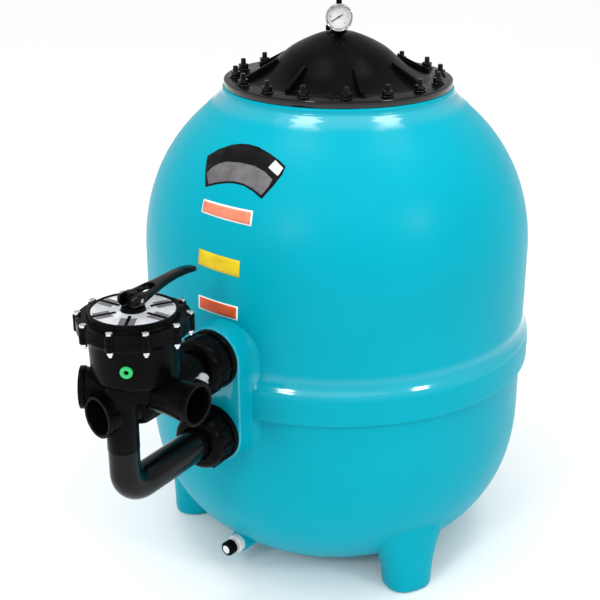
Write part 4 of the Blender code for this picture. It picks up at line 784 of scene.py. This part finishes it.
def port_form(reach, angle, height):
    """The outside of a port that reaches out from the valve's axis."""
    outline = [(0.0, reach), (0.0298, reach), (0.0305, reach - 0.0007), (0.0305, reach - 0.007),
               (0.0299, reach - 0.0082)]
    outline += flowing([(0.0285, reach - 0.010), (0.0281, reach - 0.018), (0.0267, reach - 0.034),
                        (0.0255, reach - 0.046)], 4)
    outline += [(0.0255, 0.012), (0.0, 0.012)]
    return spun(outline, 72, False, VALVE_AXIS + UP * height, compass(angle))


def port_passage(reach, angle, height, steps):
    """The socket for a pipe's end and the narrower bore behind it."""
    outline = [(0.0, reach + 0.01), (0.0270, reach + 0.01), (0.0270, reach + 0.001),
               (0.0252, reach - 0.0012), (0.0252, reach - 0.032), (0.0165, reach - 0.034),
               (0.0165, 0.022), (0.0, 0.022)]
    return spun(outline, steps, False, VALVE_AXIS + UP * height, compass(angle))


print("open ports:", len(PORTS))

# %% [markdown]
# The body is one moulding: a bowl, a manifold below it, the open ports and two that go to the tank. Each
# form is spun on its own axis, all are joined, and the passages are cut last, as drills would.

# %% Valve body
DOWN_PORT = VALVE_AXIS + OUT * 0.036
SIGHT_AT = VALVE_AXIS + Vector((0.0951, 0.0, PORT_HEIGHT))
SIGHT_WAY = (UP - OUT).normalized()
bowl = [(0.0, JOINT), (0.0605, JOINT), (0.0605, JOINT - 0.003), (0.0645, JOINT - 0.003), (0.0645, JOINT),
        (0.0778, JOINT), (COVER_RADIUS, JOINT - 0.0007), (COVER_RADIUS, JOINT - 0.0062),
        (0.0778, JOINT - 0.0071)]
bowl += flowing([(0.0755, JOINT - 0.0085), (0.0680, JOINT - 0.0125), (0.0645, JOINT - 0.020),
                 (0.0635, JOINT - 0.045), (0.0625, 0.506), (0.0595, 0.498), (0.0535, 0.4943),
                 (0.0490, 0.4935)], 4)
bowl += flowing([(0.0480, 0.4925), (0.0480, 0.4760), (0.0465, 0.4720), (0.0380, 0.4625)], 4)
bowl += [(0.0, 0.462)]
tank_port = [(0.0, 0.1464), (0.0322, 0.1464), (0.0330, 0.1456), (0.0330, 0.1412), (0.0322, 0.1404),
             (0.0255, 0.1404), (0.0255, 0.1217), (0.0258, 0.1190), (0.0290, 0.1150), (0.0310, 0.1130),
             (0.0310, -0.004), (0.0290, -0.010), (0.0240, -0.0155), (0.0150, -0.0190), (0.0, -0.020)]
body = as_object(spun(bowl, 144, False, VALVE_AXIS), "body")
body_extras = [crisp(rod(LOBE_RADIUS, JOINT - 0.0105, JOINT, 32, place), 0.0006) for place in SCREWS]
body_extras += [port_form(*port) for port in PORTS]
body_extras.append(crisp(rod(0.0100, 0.0235, 0.0325, 32, SIGHT_AT, SIGHT_WAY), 0.0006))
body_extras.append(spun(tank_port, 72, False, VALVE_AXIS + UP * UPPER, -OUT))
body_extras.append(crisp(rod(0.0228, 0.396, 0.497, 56, DOWN_PORT), 0.0008))
combine(body, body_extras)
chamber = [(0.0, JOINT + 0.01), (0.057, JOINT + 0.01), (0.057, 0.503), (0.0, 0.503)]
passages = [spun(chamber, 96, False, VALVE_AXIS)]
passages += [port_passage(*port, steps) for port, steps in zip(PORTS, (62, 62, 58))]
passages.append(rod(0.0200, 0.002, 0.16, 46, VALVE_AXIS + UP * UPPER, -OUT))
passages.append(rod(0.0182, 0.386, 0.420, 38, DOWN_PORT))
passages.append(gathered([rod(SCREW_HOLE, 0.53, 0.59, 16, place) for place in SCREWS]))
combine(body, passages, "DIFFERENCE")
piece(body, "valve_body_fine", "filter", SATIN_BLACK, ["valve_body"], 30.0)

# %% [markdown]
# A small ring of green plastic marks the side of the body that faces forward. It is a short bar with rounded
# edges, sunk into the bowl, and a hole is cut through its middle.

# %% Marker ring on the body
MARKER_AT = VALVE_AXIS + UP * 0.5285
MARKER_WAY = compass(-61.0)
marker = as_object(crisp(rod(0.0087, 0.0610, 0.0662, 48, MARKER_AT, MARKER_WAY), 0.0005), "marker")
combine(marker, [rod(0.0036, 0.060, 0.07, 32, MARKER_AT, MARKER_WAY)], "DIFFERENCE")
piece(marker, "green_ring", "filter", GREEN)

# %% [markdown]
# The handle is a fork that straddles the valve's stem, then a long neck that flattens to a tip. Its packed
# mesh has the right form and only lacks soft edges. We could model it again, but a copy whose loose
# triangles are merged keeps its exact fit on the pin, and a small bevel rounds its edges.

# %% Handle
def merged_copy(node):
    """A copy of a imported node's mesh with its loose triangles joined up."""
    work = bmesh.new()
    work.from_mesh(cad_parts[node].data)
    bmesh.ops.remove_doubles(work, verts=work.verts, dist=0.000005)
    bmesh.ops.dissolve_limit(work, angle_limit=math.radians(1.0), verts=work.verts, edges=work.edges)
    return work


handle = as_object(merged_copy("valve_handle"), "handle")
rounding = handle.modifiers.new("rounding", "BEVEL")
rounding.width = 0.0006
rounding.segments = 2
rounding.limit_method = "ANGLE"
rounding.angle_limit = math.radians(35.0)
piece(handle, "fork_handle", "handle", PIPE_BLACK, ["valve_handle"], 40.0)

# %% [markdown]
# A union has three pieces: the flange against the tank, the big grip nut, and the pipe's collar inside it.
# The nut turns on the thread, so it is its own piece on its own body. Its twelve grips are round bars that
# are sunk halfway into its rim.

# %% Unions
def union_nut(height):
    """The grip nut of the union at a height."""
    low, high = 0.3723, 0.4083
    outline = [(0.0265, high - 0.001), (0.0275, high), (0.0320, high)]
    outline += flowing([(0.0325, high), (0.0375, high - 0.0012), (0.0420, high - 0.0052),
                        (0.0445, high - 0.0120)], 5)
    outline += [(0.0445, low + 0.002), (0.0437, low + 0.0008), (0.0425, low), (0.0346, low),
                (0.0336, low + 0.001), (0.0336, 0.3932), (0.0265, 0.3932)]
    nut = as_object(spun(outline, 120, True, TANK_AXIS + UP * height, OUT), "nut")
    grips = []
    circle = 0.0430
    for i in range(12):
        turn = math.radians(30.0 * i)
        at = TANK_AXIS + UP * (height + circle * math.sin(turn)) + compass(0.0) * circle * math.cos(turn)
        grips.append(crisp(rod(0.0045, low + 0.002, high - 0.013, 20, at, OUT), 0.0012, 2))
    return combine(nut, grips)


def bulkhead(height):
    """The flanged tube through the tank's wall at a height."""
    face = 0.3683
    outline = [(0.0200, face + 0.018), (0.0320, face + 0.018), (0.0330, face + 0.017), (0.0330, face),
               (0.0453, face), (0.0461, face - 0.0004), (0.0465, face - 0.0014), (0.0465, 0.3603),
               (0.0240, 0.3603), (0.0240, 0.289), (0.0200, 0.289)]
    return spun(outline, 96, True, TANK_AXIS + UP * height, OUT)


for side, height in (("upper", UPPER), ("lower", LOWER)):
    piece(union_nut(height), side + "_grip_nut", side + "_nut", SATIN_BLACK, [side + "_union_nut"])
    piece(bulkhead(height), side + "_flange", "filter", SATIN_BLACK, [side + "_bulkhead"])

# %% [markdown]
# A bent pipe is easiest as its centre line. The line is a curve with a round bevel, and it becomes a mesh
# when its caps are welded on, so that other forms can be joined to it.

# %% Lines and tubes
def elbow(start, corner, end, bend, steps=16):
    """A line with one rounded square corner."""
    start, corner, end = Vector(start), Vector(corner), Vector(end)
    back, ahead = (start - corner).normalized(), (end - corner).normalized()
    centre = corner + (back + ahead) * bend
    line = [start]
    for i in range(steps + 1):
        turn = math.pi / 2.0 * i / steps
        line.append(centre - ahead * bend * math.cos(turn) - back * bend * math.sin(turn))
    return line + [end]


def tube(line, radii, sides=40):
    """A round tube along a line of points, with its caps welded on."""
    curve = bpy.data.curves.new("line", "CURVE")
    curve.dimensions = "3D"
    curve.bevel_depth = 0.01
    curve.bevel_resolution = (sides - 4) // 2
    curve.use_fill_caps = True
    spline = curve.splines.new("POLY")
    spline.points.add(len(line) - 1)
    for point, place, radius in zip(spline.points, line, radii):
        point.co = (*place, 1.0)
        point.radius = radius / curve.bevel_depth
    guide = bpy.data.objects.new("line", curve)
    SCENE.objects.link(guide)
    mesh = bpy.data.meshes.new_from_object(guide.evaluated_get(bpy.context.evaluated_depsgraph_get()))
    bpy.data.objects.remove(guide, do_unlink=True)
    work = bmesh.new()
    work.from_mesh(mesh)
    bmesh.ops.remove_doubles(work, verts=work.verts, dist=0.00001)
    bmesh.ops.recalc_face_normals(work, faces=work.faces)
    return work


print("a corner of 16 steps has", len(elbow((0, 0, 1), (0, 0, 0), (0, 1, 0), 0.1)), "points")

# %% [markdown]
# The lower pipe comes down from the valve, turns and widens a little on its way to the lower union. A collar
# and a spigot are joined to its ends, a thinner tube is cut from its inside, and it is glossier than the
# valve.

# %% Lower pipe
RADIUS_UP, RADIUS_ALONG, BEND = 0.0222, 0.0250, 0.034
COLLAR_FACE, SPIGOT_FOOT = 0.3866, 0.3957
pipe_line = elbow((0.0, DOWN_PORT.y, SPIGOT_FOOT), (0.0, DOWN_PORT.y, LOWER),
                  (0.0, TANK_AXIS.y - COLLAR_FACE, LOWER), BEND)
places = len(pipe_line)
widening = [RADIUS_UP + (RADIUS_ALONG - RADIUS_UP) * i / (places - 3) for i in range(places - 2)]
pipe_radii = [RADIUS_UP] + widening + [RADIUS_ALONG]
pipe = as_object(tube(pipe_line, pipe_radii), "pipe")
combine(pipe, [crisp(rod(0.0330, COLLAR_FACE, 0.3926, 64, TANK_AXIS + UP * LOWER, OUT), 0.0006),
               rod(0.0176, 0.3917, 0.4157, 40, DOWN_PORT)])
bore_line = [pipe_line[0] + UP * 0.04] + pipe_line[1:-1] + [pipe_line[-1] - OUT * 0.02]
bore_radii = [0.0142, 0.0142] + [radius - 0.0065 for radius in pipe_radii[2:]]
combine(pipe, [tube(bore_line, bore_radii, 24)], "DIFFERENCE")
piece(pipe, "elbow_pipe", "filter", PIPE_BLACK, ["lower_pipe"])

# %% [markdown]
# The labels are thin films that follow the tank. Each one is flat first, with an angle and a height for
# every point. The points are then laid on the tank, just proud of the wall, and Solidify gives the film
# its thickness. The films are plain fields of colour, without words.

# %% Laying a film on the tank
def wall_radius(height):
    """The tank's radius at a height on its wall or shoulder. A superellipse is its own inverse."""
    rise = max(0.0, height - WALL_TOP)
    return TANK_RADIUS * swell(rise / SHOULDER_RISE, SHOULDER_POWER)


def laid_on(work, lift, thickness, name, finish):
    """Lay flat points of (angle, height) on the tank as a film."""
    for vert in work.verts:
        radius = wall_radius(vert.co.y) + lift
        vert.co = TANK_AXIS + compass(vert.co.x) * radius + UP * vert.co.y
    bmesh.ops.recalc_face_normals(work, faces=work.faces)
    work.faces.ensure_lookup_table()
    face = work.faces[0]
    if face.normal.dot(face.calc_center_median() - TANK_AXIS) < 0.0:
        bmesh.ops.reverse_faces(work, faces=work.faces)
    film = as_object(work, name)
    skin = film.modifiers.new("film", "SOLIDIFY")
    skin.thickness = thickness
    skin.offset = 1.0
    return piece(film, name, "filter", finish)


def sheet_of(corners, steps=10):
    """A flat grid between four corners, given as (angle, height) from the top left and round."""
    work = bmesh.new()
    bmesh.ops.create_grid(work, x_segments=steps, y_segments=4, size=0.5)
    top_left, top_right, low_right, low_left = (Vector(corner) for corner in corners)
    for vert in work.verts:
        across, down = vert.co.x + 0.5, 0.5 - vert.co.y
        top = top_left.lerp(top_right, across)
        low = low_left.lerp(low_right, across)
        point = top.lerp(low, down)
        vert.co = (point.x, point.y, 0.0)
    return work


def outline_sheet(points):
    """A flat patch inside an outline, cut into small pieces so that it can follow the tank."""
    work = bmesh.new()
    ring = [work.verts.new((angle, height, 0.0)) for angle, height in points]
    work.faces.new(ring)
    for axis, count in ((0, 16), (1, 6)):
        low, high = min(point[axis] for point in points), max(point[axis] for point in points)
        across = Vector((1.0 - axis, axis, 0.0))
        for i in range(1, count):
            bmesh.ops.bisect_plane(work, geom=work.verts[:] + work.edges[:] + work.faces[:], dist=0.00001,
                                   plane_co=across * (low + (high - low) * i / count), plane_no=across)
    bmesh.ops.triangulate(work, faces=work.faces)
    return work


def shrunk(corners, side, end):
    """The same four corners moved inwards."""
    (a, b), (c, d), (e, f), (g, h) = corners
    return [(a + side, b - end), (c - side, d - end), (e - side, f + end), (g + side, h + end)]


print("the wall's radius at the upper union is", wall_radius(UPPER), "m")

# %% [markdown]
# Three labels have four corners, and two of them have a white edge: a larger white film with a smaller
# coloured one over it. Films that lie on each other keep a small distance, or they would flicker.

# %% Red, yellow and orange labels
FILM, INK = 0.0003, 0.0001
BASE_LIFT, FIELD_LIFT, PANEL_LIFT = 0.0001, 0.0006, 0.0009
RED_CORNERS = [(-102.1, 0.6758), (-83.6, 0.6742), (-83.3, 0.6530), (-101.6, 0.6570)]
YELLOW_CORNERS = [(-99.7, 0.6050), (-85.5, 0.6014), (-85.5, 0.5762), (-99.6, 0.5808)]
ORANGE_CORNERS = [(-99.3, 0.5320), (-85.8, 0.5295), (-86.0, 0.5066), (-99.5, 0.5094)]
laid_on(sheet_of(RED_CORNERS), BASE_LIFT, FILM, "red_label_edge", LABEL_WHITE)
laid_on(sheet_of(shrunk(RED_CORNERS, 0.5, 0.0022)), FIELD_LIFT, INK, "red_label", RED)
laid_on(sheet_of(YELLOW_CORNERS), BASE_LIFT, FILM, "yellow_label", YELLOW)
laid_on(sheet_of(ORANGE_CORNERS), BASE_LIFT, FILM, "orange_label_edge", LABEL_WHITE)
laid_on(sheet_of(shrunk(ORANGE_CORNERS, 0.5, 0.0020)), FIELD_LIFT, INK, "orange_label", ORANGE)

# %% [markdown]
# The arched plate is a dark film with a grey panel and a white square on it. Its outline is no simple form,
# so its points are listed one by one, in angle and height, from the left over the top and back below.

# %% Arched plate
PLATE = [(-109.0, 0.7297), (-105.4, 0.7417), (-100.9, 0.7504), (-96.9, 0.7544), (-93.1, 0.7556),
         (-88.7, 0.7544), (-83.0, 0.7483), (-78.9, 0.7416), (-76.2, 0.7351), (-76.8, 0.7250),
         (-78.8, 0.7103), (-81.7, 0.6915), (-85.4, 0.7000), (-88.9, 0.7046), (-92.5, 0.7052),
         (-95.4, 0.7034), (-98.6, 0.6994), (-101.5, 0.6944), (-103.2, 0.6912)]
PANEL = [(-105.0, 0.7095), (-103.8, 0.7190), (-101.5, 0.7255), (-98.7, 0.7300), (-93.1, 0.7325),
         (-87.1, 0.7315), (-82.7, 0.7260), (-79.6, 0.7178), (-80.3, 0.7081), (-82.0, 0.6961),
         (-85.3, 0.7030), (-89.1, 0.7075), (-92.7, 0.7080), (-95.6, 0.7060), (-98.8, 0.7022),
         (-102.2, 0.6962)]
SQUARE = [(-80.4, 0.7418), (-76.9, 0.7333), (-78.1, 0.7230), (-82.1, 0.7320)]
laid_on(outline_sheet(PLATE), BASE_LIFT, 0.0004, "arched_plate", LABEL_BLACK)
laid_on(outline_sheet(PANEL), PANEL_LIFT, INK, "plate_panel", GREY_PRINT_AND_RIB_SHADE)
laid_on(outline_sheet(SQUARE), PANEL_LIFT, INK, "plate_square", LABEL_WHITE)

# %% [markdown]
# What stays hidden inside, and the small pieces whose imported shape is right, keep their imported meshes. They
# only need a real finish in place of their plain one.

# %% Finishes for the pieces that stay as packed
STAY = [
    (RUBBER, ["lid_gasket", "cover_seal", "spider_gasket"]),
    (SATIN_BLACK, ["bleed_knob", "valve_rotor", "upper_lock_nut", "lower_lock_nut", "drain_cap"]),
    (NATURAL, ["slip_washer", "inlet_riser", "diffuser", "outlet_pipe", "collector"]),
    (PRINT_BLACK, ["gauge_needle"]),
    (BRIGHT_STEEL, ["handle_pin"]),
    (WHITE_PLASTIC_AND_GLINT, ["drain_fitting"]),
    (CLEAR_CAP, ["sight_glass"]),
]
for finish, nodes in STAY:
    for node in nodes:
        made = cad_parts[node]
        made.data.materials.clear()
        made.data.materials.append(finish)
print("packed pieces with a finish:", sum(len(nodes) for _, nodes in STAY))

# %% [markdown]
# Pressing the handle lifts the rotor and squeezes the spring under the cover. A rigid copy would cut into
# the rotor. The spring here is a merged copy with a mesh of its own, and it rides on the selector.

# %% Rotor spring
spring = as_object(merged_copy("rotor_spring"), "spring")
piece(spring, "rotor_spring_fine", "selector", BRIGHT_STEEL, ["rotor_spring"], 50.0)
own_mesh(spring)

# %% [markdown]
# The drain cap is black, and the pale disc in its end is a painted highlight, the glint on its glossy end.
# The disc turns with the cap, so it rides on the cap's own body.

# %% Painted highlight on the drain cap
DISC_RADIUS, DISC_BACK, DISC_FACE = 0.0072, 0.29335, 0.29385
# The pale disc is a painted highlight on the black cap.
disc = crisp(rod(DISC_RADIUS, DISC_BACK, DISC_FACE, 40, DRAIN_AT, DRAIN_WAY), 0.0002)
piece(disc, "drain_cap_painted_glint", "drain_plug", WHITE_PLASTIC_AND_GLINT)

# %% [markdown]
# The stage is plain: a pale floor that runs to the horizon, under a white studio sky. The floor has a finish
# too, with a faint drift, because a perfectly even floor looks like a hole in the picture.

# %% Floor and sky
ground = bmesh.new()
bmesh.ops.create_grid(ground, x_segments=1, y_segments=1, size=400.0)
floor = as_object(ground, "floor")
floor_finish, floor_tree, floor_shader = shader_of("pale_floor")
drift = spread(floor_tree, noise(floor_tree, 0.7), 0.3, 0.7, (0.95, 0.95, 0.95), (0.97, 0.97, 0.97))
floor_tree.links.new(drift, floor_shader.inputs["Base Color"])
settings(floor_shader, {"Roughness": 0.9, "Specular IOR Level": 0.1})
floor.data.materials.append(floor_finish)

world = bpy.data.worlds.new("studio")
world.use_nodes = True
sky = world.node_tree.nodes["Background"]
settings(sky, {"Color": (1.0, 1.0, 1.0, 1.0), "Strength": 0.68})
bpy.context.scene.world = world
bpy.context.scene.view_settings.view_transform = "Standard"
print("the sky's strength is", round(sky.inputs["Strength"].default_value, 2))

# %% [markdown]
# Four small soft lamps make the streaks of light. The two high ones mirror in the neck under the lid, and
# the two lower ones in the band. One very wide light from above fills the rest, and leaves a soft shadow.

# %% Lamps
NECK_FILLET = 0.215


def lamp(name, at, size, power):
    """A soft square lamp that faces the filter."""
    light = bpy.data.lights.new(name, "AREA")
    light.shape = "SQUARE"
    light.size = size
    light.energy = power
    made = bpy.data.objects.new(name, light)
    SCENE.objects.link(made)
    made.location = at
    made.rotation_mode = "QUATERNION"
    made.rotation_quaternion = (Vector((0.0, 0.0, 0.5)) - Vector(at)).to_track_quat("-Z", "Y")
    return made


left_streak = TANK_AXIS + compass(-74.0) * NECK_FILLET
right_streak = TANK_AXIS + compass(-35.0) * NECK_FILLET
lamp("left_lamp", left_streak + compass(-131.0) * 0.60 + UP * 2.70, 0.54, 9.0)
lamp("right_lamp", right_streak + compass(32.0) * 0.86 + UP * 2.59, 0.54, 9.0)
lamp("near_lamp", TANK_AXIS + compass(-86.0) * 2.6 + UP * 1.75, 0.40, 14.0)
lamp("far_lamp", TANK_AXIS + compass(-10.0) * 2.6 + UP * 1.75, 0.40, 14.0)

wide = bpy.data.lights.new("wide_light", "SUN")
wide.energy = 1.18
wide.angle = math.radians(80.0)
above = bpy.data.objects.new("wide_light", wide)
SCENE.objects.link(above)
above.rotation_mode = "QUATERNION"
above.rotation_quaternion = (-(compass(-65.0) * 0.45 + UP)).to_track_quat("-Z", "Y")
print("lights:", len(bpy.data.lights))

# %% [markdown]
# The picture was taken from the right and above. The filter's upright lines lean very little, which tells
# that the camera stood well back with a long lens.

# %% Camera
view = bpy.data.cameras.new("camera")
view.lens = 71.44
view.sensor_width = 36.0
camera = bpy.data.objects.new("camera", view)
SCENE.objects.link(camera)
camera.location = (1.0011, -1.52723, 1.213)
camera.rotation_euler = (math.radians(67.92), 0.0, math.radians(32.84))
bpy.context.scene.camera = camera
print("camera is", round((camera.location - TANK_AXIS).length, 2), "m from the tank's foot")
